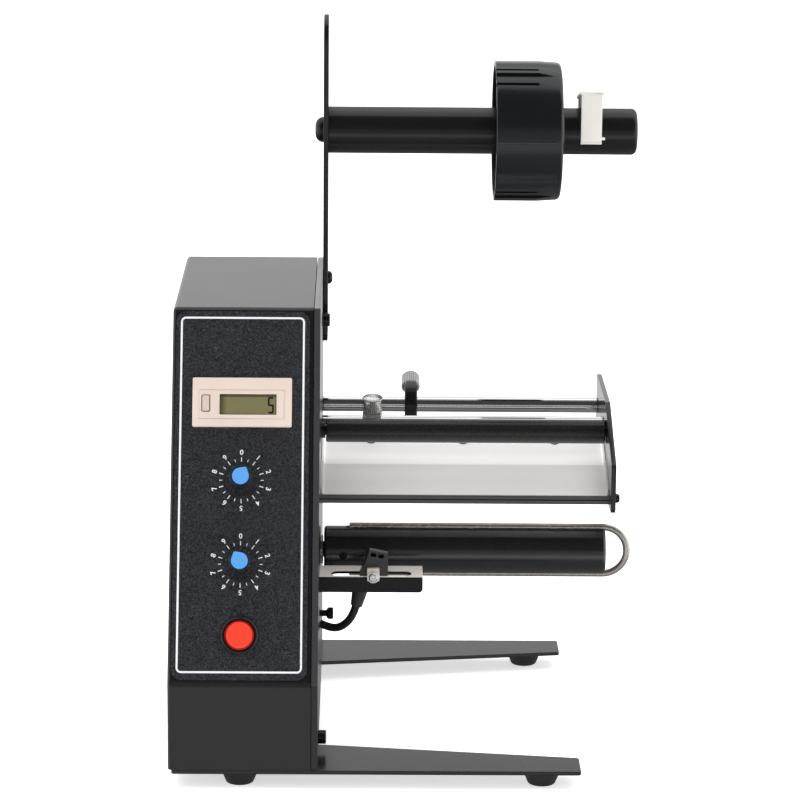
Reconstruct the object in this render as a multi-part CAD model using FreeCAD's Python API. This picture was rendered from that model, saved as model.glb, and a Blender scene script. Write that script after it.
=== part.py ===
import FreeCAD, Part
import math
import os

from FreeCAD import Placement, Rotation, Vector

# Desk-top label dispenser. Millimetres, +Z up, +X to the end plate, -Y to the operator.
# Origin: middle of the overall box, on the table.
os.makedirs("parts", exist_ok=True)

# ---- where the machine stands ------------------------------------------------------------
LEFT = -116.5               # left face of the housing
FRONT = -112.0              # front edge of the base plate

# ---- base --------------------------------------------------------------------------------
BASE_THICK = 2.0
BASE_INSET = 1.6            # base edge inside the housing's left face
LEG_REACH = 126.8           # legs run this far past the side plate
LEG_ROOT = 38.0             # leg width at the side plate
LEG_TIP = 20.0
FOOT_HEIGHT = 7.0
FOOT_TOP_D = 19.0
FOOT_BOTTOM_D = 13.5
FOOT_IN = 10.5              # foot centre from the front and rear edges
FOOT_FROM_TIP = 18.6        # foot centre from the leg tip
FOOT_SCREW_D = 3.0

# ---- housing -----------------------------------------------------------------------------
HOUSING_WIDTH = 68.5
HOUSING_DEPTH = 206.0
HOUSING_HEIGHT = 210.7
SKIRT_HEIGHT = 43.5         # upright strip under the sloped panel
PANEL_SETBACK = 75.0        # how far the slope carries the top edge back
SHEET = 1.5
BEND_R = 2.2                # outer bend radius of the sheet
SEAT = 0.3                  # gap between painted parts that lie together
SLIP = 0.05                 # radial play of a running or sliding fit
SIDE_THICK = 3.0
TAB_THICK = 2.0             # upturned tabs of the base plate
TAB_HEIGHT = 18.0
TAB_LENGTH = 20.0
VENT_COUNT = 6
VENT_PITCH = 8.0
VENT_WIDTH = 3.2
VENT_LENGTH = 36.0
VENT_LOW = 120.0            # lowest slot above the deck

# ---- controls on the slope (distances up the slope from the bend) -------------------------
OVERLAY_THICK = 0.5
OVERLAY_MARGIN = 1.8
OVERLAY_CORNER = 5.0
BUTTON_UP = 23.1
SPEED_UP = 57.5
LENGTH_UP = 98.3
COUNTER_UP = 136.2
COUNTER_W = 48.0
COUNTER_H = 24.0
COUNTER_FACE = 2.6          # how far the counter stands out of the overlay
COUNTER_BODY = 36.0
COUNTER_BODY_W = 44.6
COUNTER_BODY_H = 21.4
LCD_W = 27.5
LCD_H = 10.1
LCD_SHIFT = 2.85            # window right of the counter's middle
LCD_DOWN = 1.1              # and below it
LCD_RECESS = 1.2
KEY_W = 3.3
KEY_H = 7.5
KEY_SHIFT = -17.55
KEY_DOWN = 0.6
KEY_TRAVEL = 0.6
KEY_PROUD = 0.4
KNOB_FLANGE_D = 15.5
KNOB_D = 11.6
KNOB_TOP_D = 10.4
KNOB_HEIGHT = 12.6          # from the flange's underside to the cap seat
KNOB_FLUTES = 18
KNOB_LIFT = 0.5             # knob clear of the overlay
CAP_D = 8.0
CAP_THICK = 0.9
CAP_POINT = 5.2             # pointer tip from the cap's middle
LENGTH_POINTER = 31.0       # degrees clockwise from the top of the dial
SPEED_POINTER = -31.0
POT_SHAFT_D = 6.0
POT_BUSH_D = 9.0
POT_BODY_D = 16.5
POT_BODY = 8.5
POT_NUT = 11.0              # across flats
POT_NUT_THICK = 2.0
BEZEL_D = 18.2
BEZEL_THICK = 1.9
LENS_D = 14.3
LENS_PROUD = 1.6
LENS_BEVEL = 1.3
BUTTON_TRAVEL = 3.0
SWITCH_BARREL_D = 16.2
SWITCH_DEPTH = 24.0
SPRING_WIRE = 0.8
SPRING_TURNS = 4
SPRING_D = 10.0             # across the middle of the wire

# ---- roll holder -------------------------------------------------------------------------
SHAFT_BACK = 188.0          # roll shaft axis behind the base's front edge
SHAFT_UP = 280.8            # and above the deck
SHAFT_D = 24.0
SHAFT_LENGTH = 158.7
SHAFT_END_R = 3.0
ARM_THICK = 2.5
ARM_WIDTH = 28.0
ARM_ABOVE = 59.4            # arm above the shaft axis
ARM_LAP = 39.2              # arm below the housing top
ARM_CORNER = 5.0
ARM_BOLT_D = 5.0
ARM_BOLT_LOW = 30.7         # second bolt under the housing top
ARM_BOLT_HIGH = 7.5
BUTTON_HEAD_D = 6.8
BUTTON_HEAD = 2.3
SHAFT_BOLT_D = 8.0
SHAFT_BOLT_HEAD_D = 13.0
SHAFT_BOLT_HEAD = 4.4
HUB_D = 72.0
HUB_TAPER = 1.2             # smaller at the closed end
HUB_STRAIGHT = 22.5         # plain cylinder that carries the label core
HUB_WIDTH = 34.0
HUB_FROM_ARM = 85.2
HUB_WALL = 2.6
HUB_END_WALL = 3.0
HUB_RIM_R = 2.2
HUB_SLEEVE_D = 34.0
HUB_RECESS = 4.0            # sleeve and bush begin this far inside the open rim
HUB_RIBS = 6
HUB_RIB_THICK = 2.0
RIB_FIRST = 162.0           # first rib, degrees from +Y towards +Z
HUB_FINGERS = 3
FINGER_HALF = 9.2           # degrees from the finger's middle to each slot
FINGER_SLOT = 1.4
FINGER_LENGTH = 21.8
GROOVE_WIDTH = 5.6
GROOVE_DEPTH = 1.5
GROOVE_RAMP = 9.9
FINGER_FIRST = 120.7        # first finger, counted the same way
BUSH_WALL = 1.5
BUSH_LIP = 1.3
BUSH_LIP_STEP = 1.0
CLIP_FROM_HUB = 9.9
CLIP_WIDTH = 10.75
CLIP_THICK = 1.5
CLIP_TOP = 22.5             # front of the bridge above the shaft axis
CLIP_TAIL = 16.3            # its rear, which slopes down
CLIP_DROP = 4.6             # leaves below the axis
CLIP_LIP = 1.0
CLIP_LEG_SPREAD = 5.0       # feet of the bridge's two struts, from the middle
CLIP_NUB = 1.8              # nub beside the front leaf
CLIP_NUB_UP = 2.9

# ---- web path between the plates -----------------------------------------------------------
WEB_WIDTH = 144.5
END_THICK = 2.5
END_BELOW = 30.0            # end plate below and above the rods' axes
END_ABOVE = 15.0
END_AHEAD = 12.0            # its nose ahead of the peel edge
END_NOSE = 24.5             # upright part of the nose
END_BEHIND = 10.0           # behind the rear rod
END_TAIL = 9.0              # rear corner below the rods' axes
END_FOOT = 4.0              # lower corner behind the front rod
END_STEEPER = 1.0           # degrees steeper than the peel plate, and how far the nose leans
END_CORNER = 2.0
ROD_D = 8.0
ROD_UP = 135.0
REAR_ROD_IN = 16.0          # rear rod ahead of the side plate's rear edge
ROD_PITCH = 41.0            # between the two rods
ROLLER_AHEAD = 16.0         # pressure roller ahead of the front rod
ROLLER_D = 12.2
AXLE_D = 5.0
AXLE_SHOULDER_D = 8.0
AXLE_SHOULDER = 2.0
PEEL_AHEAD = 4.0            # peel plate's rear edge ahead of the front rod
PEEL_DROP = 6.0             # and its top below the rods' axes
PEEL_REAR_RUN = 24.0        # crease to rear edge, measured level
PEEL_FRONT_RUN = 24.0       # front edge to crease
PEEL_SLOPE_FRONT = 21.5
PEEL_SLOPE_REAR = 19.5
PEEL_THICK = 1.5
PEEL_RIM = 1.4
PEEL_RIM_THICK = 1.0
PEEL_SCREW_IN = 4.0         # screws ahead of the rear edge
PEEL_SCREW_PITCH = 47.0
PEEL_SCREW_HEAD_D = 5.4
PEEL_SCREW_HEAD = 1.4
EDGE_LIP = 1.2              # the bar in front of the plate's edge
EDGE_HEIGHT = 4.3
EDGE_DEPTH = 8.6
EDGE_GROOVE = 0.6
SUPPORT_W = 9.0
SUPPORT_H = 7.0
ROD_SCREW_D = 3.0
ROD_SCREW_HEAD_D = 5.4
ROD_SCREW_HEAD = 1.5
EDGE_SCREW_HEAD_D = 4.7     # tall head of the edge bar's screw
EDGE_SCREW_HEAD = 3.0
COLLAR_D = 13.0
COLLAR_WIDTH = 10.0
COLLAR_FROM_SIDE = 25.9
COLLAR_TILT = -11.0         # thumbscrew lean from upright, towards the back
COLLAR_KNOB_D = 10.4
COLLAR_KNOB = 8.2
GUIDE_D = 25.0
GUIDE_WIDTH = 6.4
GUIDE_FROM_SIDE = 46.2
GUIDE_TILT = 61.0
GUIDE_KNOB_D = 9.8
GUIDE_KNOB = 8.4
THUMB_STEM_D = 4.0
KNURLS = 20

# ---- take-up and drive -----------------------------------------------------------------------
TAKEUP_BACK = 117.5
TAKEUP_UP = 76.7
TAKEUP_D = 24.0
TAKEUP_START = 1.6          # roller end from the side plate
TAKEUP_LENGTH = 142.8
TAKEUP_CHAMFER = 1.2
WIRE_D = 3.6
WIRE_PLAY = 0.3
WIRE_SPREAD = 24.5          # between the middles of the clip's legs
WIRE_START = 14.4           # legs begin this far from the side plate
WIRE_REACH = 157.4          # outside of the bend from the side plate
OUTPUT_D = 8.0
OUTPUT_IN_ROLLER = 24.0
SET_SCREW_D = 4.0
SET_SCREW_AT = 9.7
BUSH_FLANGE_D = 15.0
BUSH_FLANGE = 1.2
BUSH_SLEEVE_D = 12.0
MODULE = 0.8
OUTPUT_TEETH = 48
IDLER_SMALL_TEETH = 14
IDLER_LARGE_TEETH = 40
PINION_TEETH = 12
GEAR_WIDTH = 5.6
GEAR_GAP = 0.8
TOOTH_SHARE = 0.43          # tooth width as a share of the pitch
GEAR_CLEARANCE = 0.25       # tip to root, in modules, on top of the tooth's own depth
BOX_WALL = 2.5
BOX_DEPTH = 20.0
BOX_PLAY = 1.5              # gears to the case wall
BOX_CORNER = 5.0
BOX_COVER = 2.5
BOX_SCREW_D = 3.0
IDLER_PIN_D = 4.0
MOTOR_D = 36.0
MOTOR_LENGTH = 34.0
MOTOR_BOSS_D = 12.0
MOTOR_BOSS = 2.5
MOTOR_SHAFT_D = 2.4
MOTOR_SHAFT_IN = 12.0

# ---- label sensor ------------------------------------------------------------------------------
BRACKET_BACK = 72.0         # bracket's front face
BRACKET_UP = 75.7           # bracket's top face
BRACKET_REACH = 51.1
BRACKET_DEPTH = 19.0
BRACKET_DROP = 8.2
BRACKET_SHEET = 1.5
BRACKET_CORNER = 2.0
SLOT_FROM_SIDE = 5.5
SLOT_LENGTH = 40.1
SLOT_WIDTH = 8.6
SLOT_RIM = 1.2              # sheet left in front of the slot
SENSOR_FROM_SIDE = 19.7
SENSOR_W = 14.1
SENSOR_LEAN = 4.9           # the left edge leans in by this much
SENSOR_ABOVE = 12.2
SENSOR_TOP_DROP = 1.8
SENSOR_BELOW = 9.5
SENSOR_BEVEL = 3.6
EYE_W = 2.9                 # two dark eyes in the bevel
EYE_H = 2.3
EYE_R = 0.8
EYE_DEPTH = 1.2
EYE_RISE = 0.35             # above the bevel's middle
EYE_PLACES = (2.3, 6.15)    # from the bevel's left end
CLAMP_W = 6.2
CLAMP_THICK = 1.0
CLAMP_ABOVE = 4.6
CLAMP_BELOW = 3.3
CLAMP_SCREW_UP = 0.2        # screw above the shelf's top face
CLAMP_SCREW_D = 4.8
CLAMP_SCREW_HEAD = 1.9
CLAMP_WASHER_D = 6.2
CLAMP_WASHER = 0.6
CABLE_D = 4.0
BOOT_TOP_D = 7.6
BOOT_TIP_D = 5.8
BOOT_PLAY = 0.3
BOOT_LENGTH = 9.0
GROMMET_D = 10.0
GROMMET_LIP = 1.2
GROMMET_HOLE_D = 8.0
POST_BACK = 95.0
POST_UP = 49.5
POST_STEM_D = 3.2
POST_STEM = 3.3
POST_HEAD_D = 6.0
POST_HEAD = 3.3
CAP_SCREW_D = 4.0
CAP_SCREW_HEAD_D = 6.8
CAP_SCREW_HEAD = 3.8
CAP_SCREW_PLACES = ((30.0, 6.6), (163.0, HOUSING_HEIGHT - 24.7))    # behind the front edge, above the deck

# ---- electrics inside the housing ----------------------------------------------------------------
BOARD_THICK = 1.6
BOARD_STANDOFF = 8.0
BOARD_BACK = 130.0
BOARD_DOWN = 64.7           # its lower edge below the housing's top
BOARD_W = 62.0
BOARD_H = 54.0
RELAY = (14.0, 14.0, 16.0)  # off the board, along it and up it
RELAY_PITCH = 19.0
TERMINAL = (9.0, 16.0, 8.0)
TERMINAL_PITCH = 18.0
CAPACITOR_D = 10.0
CAPACITOR_LENGTH = 16.0
CAPACITOR_PITCH = 13.0
PART_MARGIN = 4.0           # between the board's edges and its parts
PILLAR_D = 7.0
PILLAR_RISE = 6.0           # lower pillars above the board's lower edge
PILLAR_BACKS = (138.0, 184.0)
CORE_W = 42.0
CORE_D = 20.0
CORE_H = 36.0
COIL_W = 25.2
COIL_D = 34.0
COIL_H = 26.0
COIL_CORNER = 4.0
CORE_FOOT = 1.5
CORE_FOOT_LAP = 8.0
CORE_BACK = 132.0
INLET_W = 27.0
INLET_H = 20.0
INLET_DEPTH = 24.0
INLET_FLANGE = 2.4
INLET_LAP = 3.0
INLET_UP = 28.0
SOCKET_W = 23.0
SOCKET_H = 15.6
SOCKET_DEPTH = 16.0
PIN_RECESS = 5.0
COVER_SCREW_D = 3.0
COVER_SCREW_HEAD_D = 5.8
COVER_SCREW_HEAD = 1.6
COVER_SCREW_UP = 10.0

# ---- places worked out from the sizes ----------------------------------------------------------------
DECK = FOOT_HEIGHT + BASE_THICK
BOARD_UP = HOUSING_HEIGHT - BOARD_DOWN
PILLAR_PLACES = [(b, BOARD_UP + PILLAR_RISE) for b in PILLAR_BACKS] + [CAP_SCREW_PLACES[1]]
REAR_ROD_BACK = HOUSING_DEPTH - REAR_ROD_IN
FRONT_ROD_BACK = REAR_ROD_BACK - ROD_PITCH
ROLLER_BACK = FRONT_ROD_BACK - ROLLER_AHEAD
PEEL_REAR = FRONT_ROD_BACK - PEEL_AHEAD
PEEL_CREASE = PEEL_REAR - PEEL_REAR_RUN
PEEL_FRONT = PEEL_CREASE - PEEL_FRONT_RUN
PEEL_CREASE_UP = ROD_UP - PEEL_DROP - PEEL_REAR_RUN * math.tan(math.radians(PEEL_SLOPE_REAR))
PEEL_SCREW_BACK = PEEL_REAR - PEEL_SCREW_IN
REAR = FRONT + HOUSING_DEPTH
SIDE_IN = LEFT + HOUSING_WIDTH + SEAT
SIDE_OUT = SIDE_IN + SIDE_THICK
END_IN = SIDE_OUT + WEB_WIDTH
END_OUT = END_IN + END_THICK
LEG_END = SIDE_OUT + LEG_REACH
PANEL_RISE = HOUSING_HEIGHT - SKIRT_HEIGHT
TILT = math.atan2(PANEL_SETBACK, PANEL_RISE)
PANEL_LENGTH = math.hypot(PANEL_SETBACK, PANEL_RISE)
PANEL_MIDDLE = LEFT + HOUSING_WIDTH / 2
ARM_OUT = SIDE_OUT + ARM_THICK
ROD_GAP = SEAT


def back(distance):
    """Y of a place that far behind the base plate's front edge."""
    return FRONT + distance


def up(height):
    """Z of a place that far above the base plate."""
    return DECK + height


SHAFT_Y = back(SHAFT_BACK)
SHAFT_Z = up(SHAFT_UP)
HUB_X = ARM_OUT + HUB_FROM_ARM
TAKEUP_Y = back(TAKEUP_BACK)
TAKEUP_Z = up(TAKEUP_UP)
ROD_Z = up(ROD_UP)


# ---- small helpers --------------------------------------------------------------------------------
def box(x0, x1, y0, y1, z0, z1):
    return Part.makeBox(x1 - x0, y1 - y0, z1 - z0, Vector(x0, y0, z0))


def bar_x(x0, x1, y, z, diameter):
    """A round bar along X."""
    return Part.makeCylinder(diameter / 2, x1 - x0, Vector(x0, y, z), Vector(1, 0, 0))


def disc(radius, z0, z1, x=0.0, y=0.0):
    """A round bar along Z."""
    return Part.makeCylinder(radius, z1 - z0, Vector(x, y, z0))


def prism_x(outline, x0, x1):
    """A closed outline of (y, z) points, drawn out along X."""
    points = [Vector(x0, y, z) for y, z in outline]
    face = Part.Face(Part.makePolygon(points + points[:1]))
    return face.extrude(Vector(x1 - x0, 0, 0))


def prism_z(outline, z0, z1):
    """A closed outline of (x, y) points, drawn out along Z."""
    points = [Vector(x, y, z0) for x, y in outline]
    face = Part.Face(Part.makePolygon(points + points[:1]))
    return face.extrude(Vector(0, 0, z1 - z0))


def revolve_x(profile, y, z):
    """A closed profile of (x, radius) points, turned about an axis along X."""
    points = [Vector(x, y, z + radius) for x, radius in profile]
    face = Part.Face(Part.makePolygon(points + points[:1]))
    return face.revolve(Vector(0, y, z), Vector(1, 0, 0), 360)


def revolve_z(profile):
    """A closed profile of (radius, z) points, turned about Z."""
    points = [Vector(radius, 0, z) for radius, z in profile]
    face = Part.Face(Part.makePolygon(points + points[:1]))
    return face.revolve(Vector(0, 0, 0), Vector(0, 0, 1), 360)


def edges_along(shape, axis, keep=None):
    """Straight edges of a shape that run along an axis, and pass the test."""
    found = []
    for edge in shape.Edges:
        if len(edge.Vertexes) != 2 or not isinstance(edge.Curve, Part.Line):
            continue
        run = edge.Vertexes[1].Point - edge.Vertexes[0].Point
        if run.Length > 1e-6 and abs(run.normalize().dot(axis)) > 0.9999:
            if keep is None or keep(edge.CenterOfMass):
                found.append(edge)
    return found


def rounded(shape, radius, axis, keep=None):
    return shape.makeFillet(radius, edges_along(shape, axis, keep))


X_AXIS = Vector(1, 0, 0)
Y_AXIS = Vector(0, 1, 0)
Z_AXIS = Vector(0, 0, 1)


def save(name, *solids):
    """Write one sub-part, of one solid or of several that stay apart."""
    found = [solid for shape in solids for solid in shape.Solids]
    for solid in found:
        if not solid.isValid() or not solid.isClosed() or solid.Volume <= 0:
            raise ValueError(name + " is not a sound solid")
    shape = found[0] if len(found) == 1 else Part.makeCompound(found)
    shape.exportStep("parts/" + name + ".step")
    print(name, len(found), round(sum(solid.Volume for solid in found), 1))


# ---- the slope's own frame: x to the right, y up the slope, z out of it -------------------------
def on_panel(shape, distance_up):
    """Move a shape from the slope's own frame to its place on the panel."""
    slope_up = Vector(0, math.sin(TILT), math.cos(TILT))
    outward = Vector(0, -math.cos(TILT), math.sin(TILT))
    corner = Vector(PANEL_MIDDLE, FRONT, up(SKIRT_HEIGHT))
    place = Placement(corner + slope_up * distance_up, Rotation(X_AXIS, slope_up, outward, "XYZ"))
    moved = shape.copy()
    moved.Placement = place.multiply(moved.Placement)
    return moved


def panel_rectangle(width, height, z0, z1, x=0.0, y=0.0):
    return box(x - width / 2, x + width / 2, y - height / 2, y + height / 2, z0, z1)


def panel_openings():
    """What is cut through the sheet and the overlay for the controls."""
    deep = 10.0
    window = panel_rectangle(COUNTER_BODY_W + 2 * SEAT, COUNTER_BODY_H + 2 * SEAT, -deep, deep)
    holes = [on_panel(window, COUNTER_UP)]
    for place in (SPEED_UP, LENGTH_UP):
        holes.append(on_panel(disc(POT_BUSH_D / 2 + SLIP, -deep, deep), place))
    holes.append(on_panel(disc(SWITCH_BARREL_D / 2 + SLIP, -deep, deep), BUTTON_UP))
    return holes


# ---- housing ---------------------------------------------------------------------------------------
def housing_outline(inset, bottom):
    """Side view of the housing, moved in by a wall on all edges but the bottom."""
    lean = inset / math.cos(TILT)
    bend_up = SKIRT_HEIGHT - (lean - inset) / math.tan(TILT)
    top_back = PANEL_SETBACK - inset * math.tan(TILT) + lean
    return [
        (back(inset), bottom),
        (back(inset), up(bend_up)),
        (back(top_back), up(HOUSING_HEIGHT - inset)),
        (REAR - inset, up(HOUSING_HEIGHT - inset)),
        (REAR - inset, bottom),
    ]


def make_housing_cover():
    """Bent sheet: skirt, slope, top and rear in one wrap, with the left wall; open below and right."""
    right = LEFT + HOUSING_WIDTH
    outer = prism_x(housing_outline(0.0, DECK), LEFT, right)
    outer = rounded(outer, BEND_R, X_AXIS, lambda middle: middle.z > DECK + 1)
    left_edges = [
        edge for edge in outer.Edges
        if edge.BoundBox.XMax < LEFT + 1e-6 and edge.BoundBox.ZMax > DECK + 1e-3
    ]
    outer = outer.makeFillet(BEND_R, left_edges)
    inner = prism_x(housing_outline(SHEET, DECK - 1), LEFT + SHEET, right + 1)
    cover = outer.cut(inner)
    vent_x = LEFT + HOUSING_WIDTH / 2
    vents = []
    for row in range(VENT_COUNT):
        z = up(VENT_LOW + row * VENT_PITCH)
        slot = box(vent_x - VENT_LENGTH / 2, vent_x + VENT_LENGTH / 2, REAR - 2 * SHEET, REAR + 1, z, z + VENT_WIDTH)
        vents.append(slot)
    inlet = box(
        PANEL_MIDDLE - INLET_W / 2, PANEL_MIDDLE + INLET_W / 2, REAR - 2 * SHEET, REAR + 1,
        up(INLET_UP), up(INLET_UP + INLET_H),
    )
    screws = [bar.copy() for bar in cover_screw_shanks()]
    save("housing_cover", cover.cut(panel_openings() + vents + [inlet] + screws))


def cover_screw_places():
    """(left wall Y places, rear wall X places) of the four screws that hold the cover."""
    left = [back(LEG_ROOT), REAR - LEG_ROOT]
    rear = [LEFT + HOUSING_WIDTH * share for share in (0.16, 0.84)]
    return left, rear


def cover_screw_shanks():
    left, rear = cover_screw_places()
    z = up(COVER_SCREW_UP)
    reach = SHEET + SEAT + TAB_THICK
    shanks = [bar_x(LEFT, LEFT + reach, y, z, COVER_SCREW_D) for y in left]
    for x in rear:
        shanks.append(Part.makeCylinder(COVER_SCREW_D / 2, reach, Vector(x, REAR, z), Vector(0, -1, 0)))
    return shanks


def make_cover_screws():
    """Two flush screws in the left wall and two pan heads in the rear wall."""
    left, rear = cover_screw_places()
    z = up(COVER_SCREW_UP)
    shanks = cover_screw_shanks()
    heads = []
    for x in rear:
        head = Part.makeCylinder(COVER_SCREW_HEAD_D / 2, COVER_SCREW_HEAD, Vector(x, REAR, z), Vector(0, 1, 0))
        heads.append(head)
    solids = shanks[: len(left)]
    solids += [shank.fuse(head).removeSplitter() for shank, head in zip(shanks[len(left):], heads)]
    save("cover_screws", *solids)


def base_tabs():
    """Upturned tabs that the cover and the side plate are screwed to."""
    left, rear = cover_screw_places()
    inner_left = LEFT + SHEET + SEAT
    inner_rear = REAR - SHEET - SEAT
    top = up(TAB_HEIGHT)
    half = TAB_LENGTH / 2
    tabs = [box(inner_left, inner_left + TAB_THICK, y - half, y + half, DECK, top) for y in left]
    tabs += [box(x - half / 2, x + half / 2, inner_rear - TAB_THICK, inner_rear, DECK, top) for x in rear]
    screw_y = back(CAP_SCREW_PLACES[0][0])
    tabs.append(box(SIDE_IN - TAB_THICK, SIDE_IN, screw_y - half, screw_y + half, DECK, top))
    return tabs


def make_base_plate():
    """Folded steel base: a deck under the housing and two tapering legs under the web."""
    west = LEFT + BASE_INSET
    outline = [
        (west, FRONT), (LEG_END, FRONT), (LEG_END, FRONT + LEG_TIP), (SIDE_OUT, FRONT + LEG_ROOT),
        (SIDE_OUT, REAR - LEG_ROOT), (LEG_END, REAR - LEG_TIP), (LEG_END, REAR), (west, REAR),
    ]
    plate = prism_z(outline, FOOT_HEIGHT, DECK)
    plate = rounded(plate, 1.5, Z_AXIS, lambda middle: middle.x > LEG_END - 1 or middle.x < west + 1)
    plate = plate.fuse(base_tabs()).removeSplitter()
    holes = [disc(FOOT_SCREW_D / 2, 0, DECK, x, y) for x, y in foot_places()]
    holes += cover_screw_shanks()
    holes.append(bar_x(SIDE_IN - TAB_THICK, SIDE_IN, back(CAP_SCREW_PLACES[0][0]), up(CAP_SCREW_PLACES[0][1]),
                       CAP_SCREW_D))
    save("base_plate", plate.cut(holes))


def foot_places():
    return [(x, y) for x in (PANEL_MIDDLE, LEG_END - FOOT_FROM_TIP) for y in (FRONT + FOOT_IN, REAR - FOOT_IN)]


FOOT_POCKET_D = 7.2
FOOT_POCKET = 4.0


def make_feet():
    """Cone-shaped rubber feet, each held by a screw up its pocket."""
    feet = []
    screws = []
    for x, y in foot_places():
        cone = Part.makeCone(FOOT_BOTTOM_D / 2, FOOT_TOP_D / 2, FOOT_HEIGHT, Vector(x, y, 0))
        pocket = disc(FOOT_POCKET_D / 2, 0, FOOT_POCKET, x, y)
        hole = disc(FOOT_SCREW_D / 2, FOOT_POCKET, FOOT_HEIGHT, x, y)
        feet.append(cone.cut([pocket, hole]))
        head = disc(FOOT_SCREW_D, FOOT_POCKET - 2.2, FOOT_POCKET, x, y)
        shank = disc(FOOT_SCREW_D / 2, FOOT_POCKET, DECK, x, y)
        screws.append(head.fuse(shank).removeSplitter())
    save("rubber_feet", *feet)
    save("foot_screws", *screws)


# ---- side plate and what it carries ----------------------------------------------------------------
def box_screw_places():
    """Corner screws of the gearbox, which thread into the side plate."""
    y0, y1, z0, z1 = gearbox_walls()
    inset = BOX_WALL + 0.6
    return [(y, z) for y in (y0 + inset, y1 - inset) for z in (z0 + inset, z1 - inset)]


def support_middle():
    """Middle of the bar under the peel plate's rear edge, as (distance back, height)."""
    slope = math.radians(PEEL_SLOPE_REAR)
    drop = PEEL_THICK + SUPPORT_H / 2
    top = peel_height(PEEL_SCREW_BACK)
    return PEEL_SCREW_BACK + drop * math.sin(slope), top - drop * math.cos(slope)


def edge_middle():
    """Middle of the bar along the peel edge."""
    top = peel_height(PEEL_FRONT)
    return PEEL_FRONT - EDGE_LIP + EDGE_DEPTH / 2, top - EDGE_HEIGHT / 2


def rod_places():
    """(distance back, height) of every bar between the two plates."""
    return {
        "rear_rod": (REAR_ROD_BACK, ROD_UP),
        "front_rod": (FRONT_ROD_BACK, ROD_UP),
        "axle": (ROLLER_BACK, ROD_UP),
        "support": support_middle(),
        "edge": edge_middle(),
    }


def arm_bolt_heights():
    return [up(HOUSING_HEIGHT - ARM_BOLT_HIGH), up(HOUSING_HEIGHT - ARM_BOLT_LOW)]


def make_side_plate():
    """The machine's frame: a thick plate with the housing's side view, drilled for all it carries."""
    plate = prism_x(housing_outline(0.0, DECK), SIDE_IN, SIDE_OUT)
    plate = rounded(plate, BEND_R, X_AXIS, lambda middle: middle.z > DECK + 1)
    past = (SIDE_IN - 1, SIDE_OUT + 1)
    holes = [bar_x(*past, back(b), up(h), ROD_SCREW_D) for b, h in rod_places().values()]
    holes += [sunk_head(SIDE_IN, back(b), up(h), 1) for b, h in rod_places().values()]
    holes += [bar_x(*past, SHAFT_Y, z, ARM_BOLT_D) for z in arm_bolt_heights()]
    holes += [bar_x(*past, back(b), up(h), CAP_SCREW_D) for b, h in CAP_SCREW_PLACES]
    holes.append(bar_x(*past, TAKEUP_Y, TAKEUP_Z, BUSH_SLEEVE_D))
    holes.append(bar_x(*past, CABLE_HOLE.y, CABLE_HOLE.z, GROMMET_HOLE_D))
    holes.append(bar_x(*past, back(POST_BACK), up(POST_UP), POST_STEM_D))
    holes += [bar_x(SIDE_IN - 1, SIDE_OUT - 0.8, y, z, BOX_SCREW_D) for y, z in box_screw_places()]
    holes += [bar_x(*past, y, z, ROD_SCREW_D) for y, z in bracket_screw_places()]
    save("side_plate", plate.cut(holes))


def make_side_plate_screws():
    """Black cap screws through the side plate, into a base tab and a board pillar."""
    screws = []
    for b, h in CAP_SCREW_PLACES:
        head = bar_x(SIDE_OUT, SIDE_OUT + CAP_SCREW_HEAD, back(b), up(h), CAP_SCREW_HEAD_D)
        head = head.makeChamfer(0.5, [head.Edges[0]])
        shank = bar_x(SIDE_IN - TAB_THICK, SIDE_OUT, back(b), up(h), CAP_SCREW_D)
        screws.append(head.fuse(shank).removeSplitter())
    save("side_plate_screws", *screws)


def make_cable_post():
    """A mushroom post beside the sensor lead."""
    y, z = back(POST_BACK), up(POST_UP)
    stem = bar_x(SIDE_IN, SIDE_OUT + POST_STEM, y, z, POST_STEM_D)
    start = SIDE_OUT + POST_STEM
    head = revolve_x([(start, 0), (start, POST_HEAD_D / 2 - 0.8), (start + 0.8, POST_HEAD_D / 2),
                      (start + POST_HEAD, POST_HEAD_D / 2), (start + POST_HEAD, 0)], y, z)
    save("cable_post", stem.fuse(head).removeSplitter())


def sunk_head(x, y, z, inward):
    """Cone of a flush screw head whose face lies at x."""
    return Part.makeCone(ROD_SCREW_HEAD_D / 2, ROD_SCREW_D / 2, ROD_SCREW_HEAD, Vector(x, y, z), X_AXIS * inward)


def make_frame_screws():
    """Screws of the bars and the bracket: flush inside, flush or round heads on the end plate."""
    heads = {"axle": (ROD_SCREW_HEAD_D, ROD_SCREW_HEAD * 0.7), "edge": (EDGE_SCREW_HEAD_D, EDGE_SCREW_HEAD)}
    depth = 6.0
    screws = []
    for name, (b, h) in rod_places().items():
        y, z = back(b), up(h)
        head = sunk_head(SIDE_IN, y, z, 1)
        screws.append(head.fuse(bar_x(SIDE_IN, SIDE_OUT + depth, y, z, ROD_SCREW_D)).removeSplitter())
        shank = bar_x(END_IN - depth, END_OUT, y, z, ROD_SCREW_D)
        if name in heads:
            diameter, height = heads[name]
            cap = bar_x(END_OUT, END_OUT + height, y, z, diameter)
        else:
            cap = sunk_head(END_OUT, y, z, -1)
        screws.append(shank.fuse(cap).removeSplitter())
    outer = SIDE_OUT + BRACKET_SHEET
    for y, z in bracket_screw_places():
        head = bar_x(outer, outer + ROD_SCREW_HEAD, y, z, ROD_SCREW_HEAD_D)
        screws.append(head.fuse(bar_x(SIDE_IN, outer, y, z, ROD_SCREW_D)).removeSplitter())
    save("frame_screws", *screws)


def tapped(bar, y, z):
    """A bar between the plates, with a threaded hole in each end."""
    depth = 6.5
    ends = [bar_x(SIDE_OUT - 1, SIDE_OUT + depth, y, z, ROD_SCREW_D),
            bar_x(END_IN - depth, END_IN + 1, y, z, ROD_SCREW_D)]
    return bar.cut(ends)


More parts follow.
